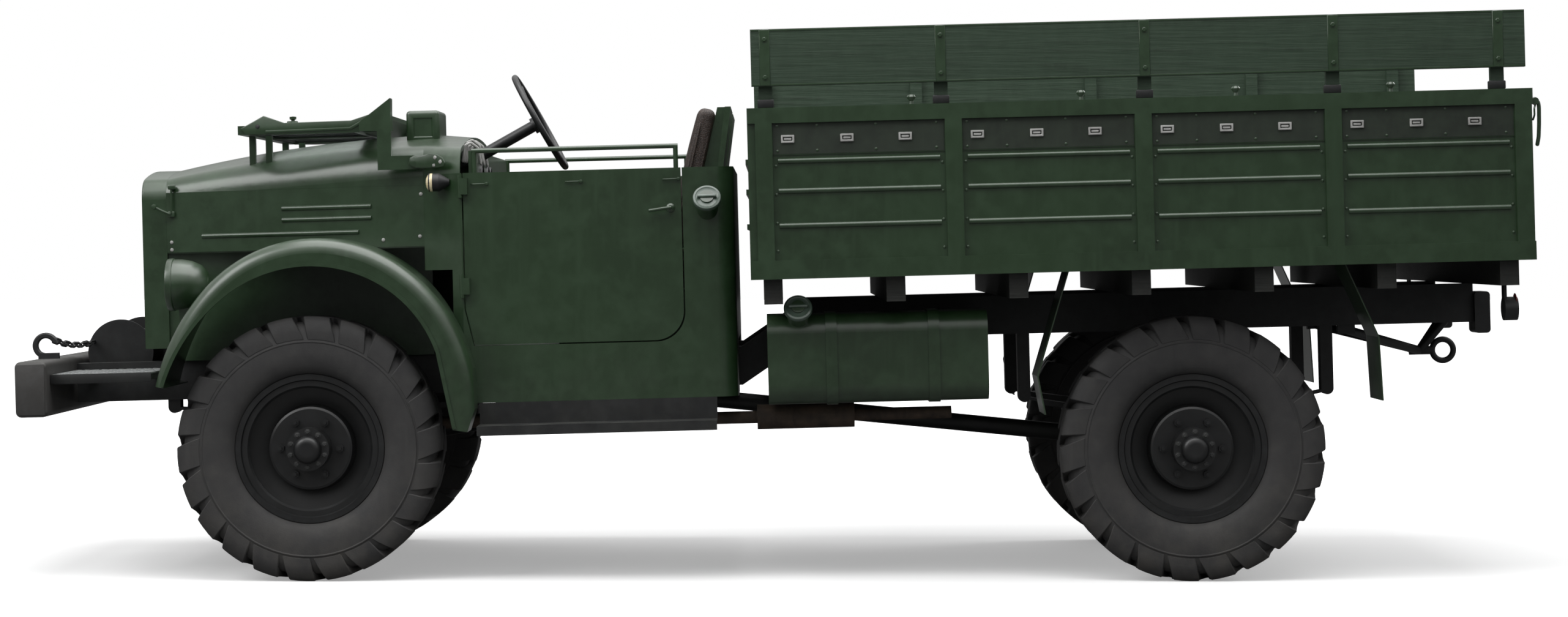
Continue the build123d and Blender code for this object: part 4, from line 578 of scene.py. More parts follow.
def aimed(piece, centre, axis):
    """Turns a piece made about Z at the origin to an axis through a centre."""
    turn = Vector((0, 0, 1)).rotation_difference(Vector(axis))
    piece.matrix_world = Matrix.Translation(centre) @ turn.to_matrix().to_4x4()
    settle(piece)
    return piece


def turned(name, profile, centre=(0, 0, 0), axis=(0, 0, 1), steps=32, angle=360.0):
    """A lathe: a profile of (radius, height) pairs is spun about an axis."""
    piece = chain(name, [(radius, 0, height) for radius, height in profile])
    bpy.ops.mesh.spin(steps=steps, angle=math.radians(angle), center=(0, 0, 0), axis=(0, 0, 1))
    bpy.ops.object.mode_set(mode="OBJECT")
    tidy_mesh(piece)
    return aimed(piece, centre, axis)


def plate(name, points, depth):
    """A flat outline in the side view, as (x, z) pairs, filled and pulled to its thickness along Y."""
    piece = chain(name, [(x, 0, z) for x, z in points])
    bpy.ops.mesh.edge_face_add()
    bpy.ops.mesh.extrude_region_move(TRANSFORM_OT_translate={"value": (0, depth, 0)})
    bpy.ops.object.mode_set(mode="OBJECT")
    tidy_mesh(piece)
    return piece


def block(name, low, high, edge=0.003, segments=2):
    """A cube at its size and place, its edges rounded."""
    deselect()
    size = Vector(high) - Vector(low)
    bpy.ops.mesh.primitive_cube_add(size=1, location=(Vector(low) + Vector(high)) / 2, scale=size)
    piece = bpy.context.object
    piece.name = name
    settle(piece)
    return rounded(piece, edge, segments)


def joined(name, parts):
    """Joins parts into one piece."""
    deselect()
    for part in parts:
        part.select_set(True)
    bpy.context.view_layer.objects.active = parts[0]
    if len(parts) > 1:
        bpy.ops.object.join()
    piece = bpy.context.object
    piece.name = name
    settle(piece)
    return piece


def placed(piece, matrix):
    """A copy of a piece with its own mesh, at another place."""
    copy = piece.copy()
    copy.data = piece.data.copy()
    bpy.context.collection.objects.link(copy)
    copy.matrix_world = matrix
    return copy


def repeated(name, piece, matrices):
    """A piece modelled once and copied to each place; the first one goes."""
    copies = [placed(piece, matrix) for matrix in matrices]
    bpy.data.objects.remove(piece)
    return joined(name, copies)


MIRROR = Matrix.Scale(-1, 4, (0, 1, 0))


def mirrored(name, piece):
    """The same piece for the other side of the truck, its faces turned outwards again."""
    copy = placed(piece, MIRROR)
    copy.name = name
    settle(copy)
    tidy_mesh(copy)
    return copy


def both_sides(piece):
    """A piece and its twin on the other side, as one."""
    name = piece.name
    return joined(name, [piece, mirrored(name, piece)])


def fitted(piece, finish, body, slot, sprung=True, smooth=38):
    """The last steps of every piece: pitch, shading, finish and body; the slot is not used."""
    if sprung:
        piece.rotation_euler.y = -BODY_PITCH
    settle(piece)
    bpy.ops.object.shade_smooth_by_angle(angle=math.radians(smooth))
    piece.data.materials.clear()
    piece.data.materials.append(finish)
    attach(piece, body)
    print(piece.name, len(piece.data.polygons), "faces on", body)
    return piece


def pair_on_truck(piece, finish, slot, **rest):
    """Fits a piece and its twin on the other side to the truck's body."""
    return fitted(both_sides(piece), finish, "truck_body", slot, **rest)


def at(x, y, z):
    """A move to a place, as a matrix."""
    return Matrix.Translation((x, y, z))


# %% [markdown]
# ## Tyres
# A cross-country tyre has a smooth bulging wall, a thin mould line, and then heavy lugs that reach from the
# shoulder to the middle of the tread, staggered from side to side. The grooves could be cut out of a thick ring,
# but cuts leave poor faces. So the carcass is turned on the lathe, one lug is a short turn of its own section
# with its inner end swept back, and that lug is copied round both sides.

# %% The carcass and the lugs
TYRE_RADIUS = 0.4948
LUG_COUNT = 22
LUG_TURN = 11.2
LUG_SPREAD = 0.34
LUG_SWEEP = 5.0
LUG_DEPTH = 0.09
SWEPT_FROM = 0.062
WALL = [(0.2623, 0.0805), (0.2785, 0.0805), (0.2835, 0.092), (0.293, 0.103), (0.31, 0.112), (0.335, 0.1185),
        (0.365, 0.1215), (0.396, 0.1195), (0.3985, 0.1212), (0.4015, 0.1212), (0.404, 0.1182), (0.432, 0.1125),
        (0.452, 0.104), (0.466, 0.09), (0.4725, 0.066), (0.475, 0.03)]
INSIDE = [(0.456, 0.03), (0.452, 0.07), (0.43, 0.092), (0.38, 0.101), (0.32, 0.092), (0.284, 0.0607),
          (0.2623, 0.0607)]
carcass_profile = (WALL + [(r, -h) for r, h in reversed(WALL)] + [(r, -h) for r, h in reversed(INSIDE)]
                   + INSIDE + WALL[:1])
carcass = turned("carcass", carcass_profile, steps=66)
LUG = [(0.4055, 0.1155), (0.41, 0.1188), (0.436, 0.1196), (0.46, 0.1165), (0.48, 0.1075), (TYRE_RADIUS, 0.0955),
       (TYRE_RADIUS, 0.06), (TYRE_RADIUS, 0.028), (TYRE_RADIUS, -0.006), (0.466, -0.006), (0.463, 0.06),
       (0.448, 0.09), (0.42, 0.105), (0.4055, 0.1155)]
lug = turned("lug", LUG, steps=3, angle=LUG_TURN)
only(lug)
bpy.ops.object.mode_set(mode="EDIT")
bpy.ops.mesh.select_all(action="SELECT")
bpy.ops.mesh.fill_holes(sides=0)
bpy.ops.object.mode_set(mode="OBJECT")
tidy_mesh(lug)
for point in lug.data.vertices:
    inward = max(0.0, (SWEPT_FROM - point.co.z) / SWEPT_FROM)
    off_middle = math.atan2(point.co.y, point.co.x) - math.radians(LUG_TURN) / 2
    low = (TYRE_RADIUS - math.hypot(point.co.x, point.co.y)) / LUG_DEPTH * LUG_SPREAD
    point.co = Matrix.Rotation(math.radians(LUG_SWEEP) * inward + off_middle * low, 3, "Z") @ point.co
rounded(lug, 0.003, 1)
pitch_angle = 2 * math.pi / LUG_COUNT
half_turn = Matrix.Rotation(math.pi, 4, "X")
centring = Matrix.Rotation(-math.radians(LUG_TURN) / 2, 4, "Z")
ring = []
for number in range(LUG_COUNT):
    ring.append(Matrix.Rotation(number * pitch_angle, 4, "Z") @ centring)
    ring.append(Matrix.Rotation((number + 0.5) * pitch_angle, 4, "Z") @ half_turn @ centring)
tread = repeated("tread", lug, ring)
tyre = aimed(joined("tyre", [carcass, tread]), (0, 0, 0), (0, -1, 0))
AXLES = {"front": -1.745, "rear": 1.555}
SIDES = {"left": -0.8, "right": 0.8}
AXLE_HEIGHT = 0.495
wheel_places = [(end, side, at(x, y, AXLE_HEIGHT)) for end, x in AXLES.items()
                for side, y in SIDES.items()]
for end, side, place in wheel_places:
    rubber = placed(tyre, place)
    rubber.name = f"tyre_{end}_{side}_rubber"
    fitted(rubber, tyre_rubber, f"wheel_{end}_{side}_body", "rubber", sprung=False, smooth=32)
    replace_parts(rubber, f"tyre_{end}_{side}")
bpy.data.objects.remove(tyre)

# %% [markdown]
# ## Bolts
# A bolt head shows as a small six-sided dot with a bright rim, and a rivet as a dome. They could be dots in the
# paint, but they catch light at their edges only as real forms. One of each is modelled and copied to every
# place. A row of them is what tells the eye how big the truck is.

# %% One bolt, one rivet, and the places they go
def bolt(name, radius):
    """A hexagon head with a chamfered top on a round washer."""
    head = turned("head", [(0, 0), (radius, 0), (radius, radius * 0.55), (radius * 0.8, radius * 0.75),
                           (0, radius * 0.75)], steps=6)
    washer = turned("washer", [(0, 0), (radius * 1.35, 0), (radius * 1.35, radius * 0.15), (0, radius * 0.2)],
                    steps=12)
    return joined(name, [head, washer])


def rivet(name, radius):
    """A low dome."""
    return turned(name, [(0, 0), (radius, 0), (radius * 0.85, radius * 0.35), (radius * 0.45, radius * 0.55),
                         (0, radius * 0.6)], steps=8)


FACE_OUT = Matrix.Rotation(math.radians(90), 4, "X")


def on_side(places, y):
    """Places on the driver's side, at one depth or each at its own, facing outwards."""
    return [at(place[0], place[2] if len(place) > 2 else y, place[1]) @ FACE_OUT for place in places]


BED_FRONT = -0.041
BED_LENGTH = 2.888
BOARD_FACE = -1.084
STRAP_SHARES = (0.016, 0.24, 0.5, 0.74, 0.95)
STRAP_METAL = 0.003
SEAT_IN = 0.001
BOLT_RADIUS = 0.0085
STRAP_X = [BED_FRONT + share * BED_LENGTH for share in STRAP_SHARES]
STRAP_FACE = BOARD_FACE - STRAP_METAL
board_bolts = repeated("board_bolts", bolt("bolt", BOLT_RADIUS),
                       on_side([(x, z) for x in STRAP_X for z in (1.872, 2.012)], STRAP_FACE))
pair_on_truck(board_bolts, green_paint, "paint")
straps = [block("strap", (x - 0.019, STRAP_FACE, 1.842), (x + 0.019, BOARD_FACE + SEAT_IN, 2.048), 0.0012, 1)
          for x in STRAP_X]
pair_on_truck(joined("board_straps", straps), green_paint, "paint")
edging = [block("edging", (BED_FRONT - STRAP_METAL, BOARD_FACE - 0.0015, z),
                (2.8, BOARD_FACE + SEAT_IN, z + 0.006), 0.0005, 1)
          for z in (1.8415, 2.0425)]
pair_on_truck(joined("board_edging", edging), green_paint, "paint")
sockets = [block("socket", (x - 0.03, -1.066, 1.761), (x + 0.03, -1.024, 1.792), 0.004) for x in STRAP_X]
pair_on_truck(joined("stanchion_sockets", sockets), chassis_paint, "iron")

BAY_COUNT = 4
BAY_START = 0.025
BAY_PITCH = 0.698
BAY_LENGTH = 0.636
RIVET_RADIUS = 0.006
RIVET_EDGE = 0.012
STRIP_METAL = 0.004
BAY_STARTS = [BAY_START + BAY_PITCH * number for number in range(BAY_COUNT)]
rivet_places = [(x, z) for left in BAY_STARTS for x in (left + RIVET_EDGE, left + BAY_LENGTH - RIVET_EDGE)
                for z in (1.232, 1.335, 1.44, 1.545)]
pair_on_truck(repeated("bed_rivets", rivet("rivet", RIVET_RADIUS), on_side(rivet_places, BOARD_FACE)),
              green_paint, "paint")
strip_places = [(left + share * BAY_LENGTH, z) for left in BAY_STARTS for share in (0.03, 0.26, 0.6, 0.95)
                for z in (1.6, 1.692)]
strip_rivets = repeated("strip_rivets", rivet("rivet", RIVET_RADIUS),
                        on_side(strip_places, BOARD_FACE - STRIP_METAL))
pair_on_truck(strip_rivets, green_paint, "paint")

# %% [markdown]
# ## Lashing loops
# A bed's cover is laced to small bare-steel loops on a strip below the top rail, three in each bay. They are the
# only pale things on the bed. A loop could be bent from a round bar, but the real one is flat: so a plane has
# its middle inset and taken out, gets a thickness, and carries the tongue of its staple across it.

# %% Loops
def frame_of_plate(name, size, rim, thickness):
    """A flat rectangular frame in the side view: inset, emptied and thickened."""
    deselect()
    bpy.ops.mesh.primitive_plane_add(size=1)
    piece = bpy.context.object
    piece.name = name
    piece.scale = (*size, 1)
    settle(piece)
    bpy.ops.object.mode_set(mode="EDIT")
    bpy.ops.mesh.select_all(action="SELECT")
    bpy.ops.mesh.inset(thickness=rim, depth=0)
    bpy.ops.mesh.delete(type="FACE")
    bpy.ops.mesh.select_all(action="SELECT")
    bpy.ops.mesh.extrude_region_move(TRANSFORM_OT_translate={"value": (0, 0, thickness)})
    bpy.ops.object.mode_set(mode="OBJECT")
    tidy_mesh(piece)
    return piece


loop = rounded(frame_of_plate("loop", (0.049, 0.029), 0.0075, 0.0075), 0.002)
tongue = block("tongue", (-0.014, -0.004, 0), (0.014, 0.004, 0.005), 0.0015, 1)
loop = joined("loop", [loop, tongue])
LOOP_SHARES = (0.09, 0.433, 0.77)
LOOP_HEIGHT = 1.644
LOOP_FACE = -1.0878
STRIP_EDGE = 0.003
loop_places = [(left + share * BAY_LENGTH, LOOP_HEIGHT) for left in BAY_STARTS for share in LOOP_SHARES]
pair_on_truck(repeated("lashing_loops", loop, on_side(loop_places, LOOP_FACE)), bare_steel, "alloy")
# Thin dark green sheets over the recessed strip in each bay: painted shade for the shade in the recess.
painted_shade_sheets = [block("strip", (left + STRIP_EDGE, -1.089, 1.588), (left + BAY_LENGTH - STRIP_EDGE, -1.0875, 1.702),
                0.0005, 1)
          for left in BAY_STARTS]
pair_on_truck(joined("painted_shade_strips", painted_shade_sheets), painted_shade_green, "paint")

# %% [markdown]
# ## Knobs and latches of the bed
# Round knobs on the top rail take a cover's lower edge. At the rear corners a curved handle pulls a loop that
# keeps the tailgate shut. A bent bar could be a curve with a round bevel. A chain of points with a skin round it
# stays a mesh from the start and is rounded by a subdivision, so that is used for every bar here.

# %% Rail knobs and the gate's latches
KNOB = [(0, 0), (0.009, 0), (0.007, 0.012), (0.014, 0.02), (0.017, 0.028), (0.012, 0.035), (0, 0.037)]
RAIL_MIDDLE = -1.078
knob_places = [at(x, RAIL_MIDDLE, 1.7595) for x in (0.541, 1.165, 1.735, 2.305)]
pair_on_truck(repeated("rail_knobs", turned("knob", KNOB, steps=16), knob_places), green_paint, "paint")


def rod(name, points, radius, smooth=1):
    """A round bar through points: a chain of edges that a skin and a subdivision make round."""
    piece = chain(name, points)
    bpy.ops.object.mode_set(mode="OBJECT")
    only(piece)
    skin = piece.modifiers.new("skin", "SKIN")
    skin_points = piece.data.skin_vertices[0].data
    for point in skin_points:
        point.radius = (radius, radius)
    skin_points[0].use_root = True
    bpy.ops.object.modifier_apply(modifier=skin.name)
    surface = piece.modifiers.new("round", "SUBSURF")
    surface.levels = smooth
    surface.render_levels = smooth
    bpy.ops.object.modifier_apply(modifier=surface.name)
    tidy_mesh(piece)
    return piece


OUT = (0, -1, 0)
HANDLE = [(2.832, 1.716), (2.846, 1.712), (2.849, 1.69), (2.848, 1.63), (2.845, 1.58), (2.838, 1.545)]
KEEPER = [(2.836, RAIL_MIDDLE, 1.7), (2.829, -1.09, 1.685), (2.829, -1.091, 1.66), (2.824, -1.08, 1.64)]
latch = [rod("handle", [(x, RAIL_MIDDLE, z) for x, z in HANDLE], 0.008, 2),
         turned("pivot", [(0, -0.014), (0.013, -0.014), (0.015, 0), (0.013, 0.014), (0, 0.014)],
                (2.834, RAIL_MIDDLE, 1.712), OUT, 16),
         rod("keeper", KEEPER, 0.004)]
pair_on_truck(joined("gate_latches", latch), green_paint, "paint")

# %% [markdown]
# ## Bonnet fasteners and screws
# An over-centre catch holds the bonnet's side at the radiator: a hook on the lid, a long rod and a short lever
# with a knob. Screw heads mark the corners of the panels. The catch could be one bent bar, but it is made as the
# real one is, of a foot, a rod and a lever, because the joints between them are what shows.

# %% Catches and screws
catch = [rod("catch_rod", [(-2.301, -0.449, 1.5405), (-2.302, -0.45, 1.49), (-2.303, -0.45, 1.433)], 0.0045),
         rod("catch_lever", [(-2.303, -0.452, 1.433), (-2.336, -0.456, 1.448), (-2.364, -0.458, 1.463)],
             0.0055),
         turned("catch_knob", [(0, -0.01), (0.009, -0.008), (0.011, 0), (0.009, 0.008), (0, 0.01)],
                (-2.368, -0.456, 1.465), OUT, 12),
         block("catch_foot", (-2.316, -0.452, 1.424), (-2.29, -0.435, 1.446), 0.003),
         block("catch_hook", (-2.314, -0.456, 1.53), (-2.286, -0.432, 1.548), 0.004)]
pair_on_truck(joined("bonnet_catches", catch), green_paint, "paint")
BONNET_NOSE_X = -2.325
BONNET_NOSE_HALF = 0.432
BONNET_FLARE = 0.2524
SCREW_LIFT = 0.0005


def bonnet_side(x):
    """How far out the bonnet's side stands at one place along it."""
    return BONNET_NOSE_HALF + (x - BONNET_NOSE_X) * BONNET_FLARE


panel_screws = [(x, z, -bonnet_side(x) - SCREW_LIFT) for x, z in
                ((-1.312, 1.484), (-1.463, 1.3135), (-1.3196, 1.3236), (-2.306, 1.326), (-2.306, 1.297),
                 (-1.9, 1.297), (-1.68, 1.297))]
pair_on_truck(repeated("panel_screws", rivet("screw", 0.0075), on_side(panel_screws, 0)), bare_steel, "alloy")

# %% [markdown]
# ## Door furniture
# The outside handle is a short lever on a round rose. Three small staples below the door's top edge take a side
# curtain. Both doors swing, so the left door's pieces are made once, mirrored for the right one, and each set
# rides on its own door and not on the truck.

# %% Handles and curtain staples
DOOR_FACE = -0.826
handle = [turned("rose", [(0, 0), (0.017, 0), (0.016, 0.006), (0.009, 0.01), (0.009, 0.02), (0, 0.02)],
                 (-0.362, DOOR_FACE, 1.406), OUT, 20),
          rod("lever", [(-0.355, -0.845, 1.407), (-0.385, -0.85, 1.404), (-0.42, -0.848, 1.399),
                        (-0.446, -0.844, 1.396)], 0.0065, 2)]


def on_doors(name, parts):
    """Joins parts for the left door, mirrors them for the right one, and fits each set to its door."""
    left = joined(name + "_left", parts)
    fitted(mirrored(name + "_right", left), green_paint, "door_right_body", "paint")
    fitted(left, green_paint, "door_left_body", "paint")


on_doors("door_handle", handle)
STAPLE_FACE = -0.833
STAPLE_WIDTH = 0.055
staples = []
for x in (-1.108, -0.754, -0.388):
    end = x + STAPLE_WIDTH
    staples.append(rod("staple", [(x, DOOR_FACE, 1.513), (x, STAPLE_FACE, 1.513), (end, STAPLE_FACE, 1.514),
                                  (end, DOOR_FACE, 1.514)], 0.0028))
    staples.append(turned("stud", [(0, 0), (0.006, 0), (0.006, 0.01), (0, 0.012)],
                          (x + 0.058, DOOR_FACE, 1.514), OUT, 10))
on_doors("curtain_staples", staples)

# %% [markdown]
# ## The folded windscreen
# Lying on the bonnet, the screen shows its end: a long pressed cheek that swells towards the hinge, stiffened by
# a raised rib. Each pane sits in a black rubber channel. The cheek could be pulled from a cube, but its outline
# is what shows, so it is drawn point by point in the side view, filled and pulled to its thickness.

# %% Cheeks, rib, channels and bolts
CHEEK = [(-1.9958, 1.7501), (-1.9062, 1.7973), (-1.8289, 1.7686), (-1.5745, 1.7711), (-1.4411, 1.8117),
         (-1.4164, 1.8494), (-1.4178, 1.79), (-1.4185, 1.7285), (-1.462, 1.7268),
         (-1.6, 1.7245), (-1.72, 1.7245), (-1.88, 1.7245), (-1.975, 1.7265)]
RIB = [(-1.9, 1.741), (-1.58, 1.746), (-1.425, 1.829), (-1.42, 1.821), (-1.574, 1.736), (-1.9, 1.731)]
CHEEK_FACE = -0.657
RIB_FACE = -0.661
SMALL_BOLT = 0.006


def cut_plate(name, outline, face, depth, edge):
    """A plate whose outer face lies at one depth, its edges rounded."""
    piece = plate(name, outline, depth)
    piece.location.y = face
    settle(piece)
    return rounded(piece, edge)


cheek = cut_plate("screen_cheeks", CHEEK, CHEEK_FACE, 0.016, 0.003)
rib = cut_plate("rib", RIB, RIB_FACE, 0.006, 0.002)
fitted(both_sides(joined("screen_cheeks", [cheek, rib])), green_paint, "windscreen_body", "paint")
screen_bolts = on_side([(-1.447, 1.768), (-1.432, 1.8), (-1.495, 1.762), (-1.93, 1.757)], CHEEK_FACE)
fitted(both_sides(repeated("screen_bolts", bolt("bolt", SMALL_BOLT), screen_bolts)), casting_paint,
       "windscreen_body", "iron")
PANE_X = (-1.972, -1.573)
CHANNEL_Z = 1.733
channels = []
for y0, y1 in ((-0.604, -0.018), (0.018, 0.604)):
    channel = frame_of_plate("channel", (PANE_X[1] - PANE_X[0], y1 - y0), 0.011, 0.022)
    channel.location = (sum(PANE_X) / 2, (y0 + y1) / 2, CHANNEL_Z)
    settle(channel)
    channels.append(rounded(channel, 0.002))
fitted(joined("pane_channels", channels), chassis_paint, "windscreen_body", "rubber")
knobs = [block("clamp", (-1.822, -0.63, 1.76), (-1.782, -0.6, 1.776), 0.004),
         turned("clamp_knob", [(0, 0), (0.007, 0), (0.007, 0.006), (0.013, 0.009), (0.013, 0.018), (0, 0.02)],
                (-1.8, -0.615, 1.774), (0, 0, 1), 12)]
fitted(both_sides(joined("screen_clamps", knobs)), green_paint, "windscreen_body", "paint")

# %% [markdown]
# ## Hinge brackets and the box on the cowl
# The screen turns on a tear-drop bracket that is bolted to the flare of the cowl. It is cut flat, and its points
# are then moved out with the flare, which is simpler than drawing it in space. Behind the screen a small box
# with a pressed lid stands on the cowl: a cube whose faces are inset twice, the second time downwards.

# %% Brackets and box
FLARE_START = -1.293
FLARE = 0.889
BRACKET = [(-1.352, 1.598), (-1.347, 1.62), (-1.328, 1.63), (-1.303, 1.628), (-1.27, 1.634), (-1.24, 1.63),
           (-1.216, 1.616), (-1.206, 1.597), (-1.212, 1.584), (-1.24, 1.58), (-1.303, 1.58), (-1.335, 1.582)]


def flare_out(x):
    """How far the cowl has swung out at one place along it."""
    return max(0.0, x - FLARE_START) * FLARE


bracket = cut_plate("bracket", BRACKET, -0.73, 0.01, 0.0025)
head = turned("pivot_head", [(0, 0), (0.02, 0), (0.018, 0.006), (0.009, 0.009), (0, 0.01)],
              (-1.328, -0.729, 1.604), OUT, 18)
bracket = joined("hinge_brackets", [bracket, head])
for point in bracket.data.vertices:
    point.co.y -= flare_out(point.co.x)
pair_on_truck(bracket, green_paint, "paint")
bracket_bolts = [(x, z, -0.731 - flare_out(x)) for x, z in
                 ((-1.224, 1.602), (-1.25, 1.59), (-1.275, 1.59), (-1.245, 1.619))]
pair_on_truck(repeated("bracket_bolts", bolt("bolt", SMALL_BOLT), on_side(bracket_bolts, 0)), bare_steel,
              "alloy")
BOX_RIM = 0.014
BOX_PRESSING = 0.004
FLAT = 0.99
box = block("cowl_box", (-1.392, -0.4, 1.68), (-1.262, -0.12, 1.812), BOX_RIM, 3)
for face in box.data.polygons:
    face.select = abs(face.normal.y) > FLAT or face.normal.z > FLAT
bpy.context.tool_settings.mesh_select_mode = (False, False, True)
bpy.ops.object.mode_set(mode="EDIT")
bpy.ops.mesh.inset(thickness=BOX_RIM, depth=0.0, use_individual=True)
bpy.ops.mesh.inset(thickness=BOX_PRESSING, depth=-BOX_PRESSING, use_individual=True)
bpy.ops.object.mode_set(mode="OBJECT")
fitted(box, green_paint, "truck_body", "paint")

# %% [markdown]
# ## Lamps
# Each headlamp has a polished bowl behind a domed glass, held by a rolled rim, and the signal lamps on the cowl
# are small domes with a cream glass in front. A sphere cut in half would do for a start, but a real lamp is spun
# from sheet, so each part is turned from its own section.

# %% Bowls, glasses, rims and signal lenses
LAMP = (-2.268, -0.72, 1.164)
BULB = (-2.244, -0.72, 1.164)
BACK = (1, 0, 0)
LAMP_STEPS = 40
bowl = turned("lamp_bowls", [(0.0885, 0.02), (0.07, 0.036), (0.045, 0.058), (0.02, 0.07), (0, 0.072), (0, 0.07),
                             (0.02, 0.068), (0.0445, 0.056), (0.069, 0.034), (0.0885, 0.018), (0.0885, 0.02)],
              LAMP, BACK, LAMP_STEPS)
pair_on_truck(bowl, bare_steel, "alloy")
glass = turned("lamp_glasses", [(0, -0.013), (0.03, -0.0115), (0.06, -0.006), (0.08, 0.002), (0.0895, 0.01),
                                (0.0895, 0.014), (0, 0.014)], LAMP, BACK, LAMP_STEPS)
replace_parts(pair_on_truck(glass, lamp_glass, "lens"), "headlamp_lenses")
shell = turned("lamp_shells", [(0.0965, 0.02), (0.0955, 0.05), (0.0885, 0.088), (0.073, 0.122), (0.049, 0.144),
                               (0.02, 0.1535), (0, 0.155), (0, 0.1), (0.09, 0.026), (0.0965, 0.02)],
               LAMP, BACK, LAMP_STEPS)
pair_on_truck(shell, green_paint, "paint")
rim = turned("lamp_rims", [(0.089, 0.0), (0.0935, -0.005), (0.0985, -0.003), (0.1, 0.004), (0.1, 0.018),
                           (0.0975, 0.021), (0.089, 0.021), (0.089, 0.0)], LAMP, BACK, LAMP_STEPS)
pair_on_truck(rim, green_paint, "paint")
bulb = turned("lamp_bulbs", [(0, 0), (0.008, 0.003), (0.011, 0.012), (0.008, 0.022), (0.006, 0.045),
                             (0, 0.045)], BULB, BACK, 16)
pair_on_truck(bulb, bare_steel, "alloy")


def lens_finish(name, colour):
    """Moulded lamp plastic: a clear tint over a fine pattern of ribs."""
    material, tree, shader = new_material(name)
    vector = object_vector(tree)
    ribs = add_node(tree, "TexWave", Vector=vector, Scale=90)
    ribs.bands_direction = "Z"
    grime = add_range(tree, add_noise(tree, vector, 40), 0.45, 0.75)
    stained = (colour[0] * 0.7, colour[1] * 0.65, colour[2] * 0.55, 1)
    feed(tree, shader, Base_Color=add_mix(tree, grime, colour, stained), Roughness=0.25, Coat_Weight=0.5)
    add_bump(tree, shader, ribs.outputs["Fac"], 0.3, 0.0006)
    return material


cream_lens = lens_finish("cream_lens", (0.78, 0.68, 0.45, 1))
red_lens = lens_finish("red_lens", (0.28, 0.012, 0.01, 1))
LENS_STEPS = 28
signal = turned("signal_lenses", [(0, -0.012), (0.018, -0.0095), (0.029, -0.0025), (0.0348, 0.006),
                                  (0.0348, 0.015), (0, 0.015)], (-1.271, -0.787, 1.524), BACK, LENS_STEPS)
pair_on_truck(signal, cream_lens, "lens")
TAIL_DEPTH = 0.0085
TAIL_HALF = 0.044
low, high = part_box("tail_lamps")
tail = turned("tail_lenses", [(0, 0.008), (0.02, 0.0065), (0.034, 0.002), (0.036, 0), (0, -0.002)],
              (high[0] - TAIL_DEPTH, low[1] + TAIL_HALF, (low[2] + high[2]) / 2), BACK, LENS_STEPS)
pair_on_truck(tail, red_lens, "lens", sprung=False)

# %% [markdown]
# ## Filler caps
# The tank under the bed and the one beside the seat have wide caps on slanted necks. A cap could be a bevelled
# cylinder, but turned from a section it gets its domed top and rolled edge in one go. A bar to turn it by is
# added, and one function makes the cap for both necks.

# %% Caps
LEAN = math.radians(58)
CAP_AXIS = Vector((0, -math.sin(LEAN), math.cos(LEAN)))
NECK_LENGTH = 0.076
cap_paint = painted("cap_paint", (0.05, 0.078, 0.06, 1), GREEN, (0.11, 0.15, 0.125, 1), 0.35, top=0.3,
                    splash=0.1, coat=0.6)
CAP = [(0, 0.0), (0.05, 0.0), (0.0535, 0.003), (0.0535, 0.013), (0.051, 0.0175), (0.044, 0.019),
       (0.041, 0.0172), (0.02, 0.0195), (0, 0.02)]


def cap(name, root):
    """A cap with its grip on the neck that starts at a root."""
    place = Vector(root) + CAP_AXIS * NECK_LENGTH
    lid = turned("lid", CAP, place, CAP_AXIS, LAMP_STEPS)
    grip = block("grip", (-0.036, -0.006, 0.017), (0.036, 0.006, 0.031), 0.004)
    aimed(grip, place, CAP_AXIS)
    return joined(name, [lid, grip])


fitted(cap("cab_filler_cap", (-0.224, -0.809, 1.392)), cap_paint, "truck_body", "paint")
fitted(cap("tank_filler_cap", (0.1051, -0.922, 0.974)), cap_paint, "truck_body", "paint")

# %% [markdown]
# ## Winch rope, deck plates and bumper ends
# The rope lies on the drum in even turns. It could be a long helix, but the turns lie so close that a lathe
# profile of small half rounds looks the same and takes far fewer faces. The deck's pattern of raised lozenges is
# one low bar, copied in two directions.

# %% Rope
WINCH = (-2.552, 0, 0.902)
ROPE = 0.0055
TURNS = 38
DRUM = 0.0615
VALLEY = 0.078
SHOULDER = 0.0825
CREST = 0.0835
wound = [(DRUM, -TURNS * ROPE)]
for number in range(TURNS):
    middle = (2 * number + 1 - TURNS) * ROPE
    wound += [(VALLEY, middle - ROPE), (SHOULDER, middle - ROPE * 0.5), (CREST, middle),
              (SHOULDER, middle + ROPE * 0.5)]
wound += [(VALLEY, TURNS * ROPE), (DRUM, TURNS * ROPE), wound[0]]
fitted(turned("winch_rope", wound, WINCH, OUT), casting_paint, "truck_body", "iron")

# %% Deck pattern and bumper ends
# The lozenges take the deck's paint, whose pale grey is a painted sheen.
lozenge = block("lozenge", (-0.014, -0.004, -0.001), (0.014, 0.004, 0.0018), 0.0012, 1)
DECK_CORNER = (-2.668, -0.882, 0.842)
DECK_ROWS = 11
DECK_COLUMNS = 12
ROW_PITCH = 0.033
COLUMN_PITCH = 0.0355
deck_places = []
for row in range(DECK_ROWS):
    for column in range(DECK_COLUMNS):
        way = 45 if (row + column) % 2 else -45
        deck_places.append(at(DECK_CORNER[0] + row * ROW_PITCH, DECK_CORNER[1] + column * COLUMN_PITCH,
                              DECK_CORNER[2]) @ Matrix.Rotation(math.radians(way), 4, "Z"))
pair_on_truck(repeated("deck_lozenges", lozenge, deck_places), deck_painted_sheen, "grey", smooth=50)
# The bumper's end plates take its paint, whose charcoal grey is a painted sheen.
end = block("bumper_ends", (-2.806, -0.964, 0.695), (-2.7, -0.956, 0.885), 0.0035)
pair_on_truck(end, bumper_painted_sheen, "grey")
lip = block("deck_lips", (-2.69, -0.904, 0.806), (-2.314, -0.899, 0.8425), 0.0022)
pair_on_truck(lip, chassis_paint, "iron")

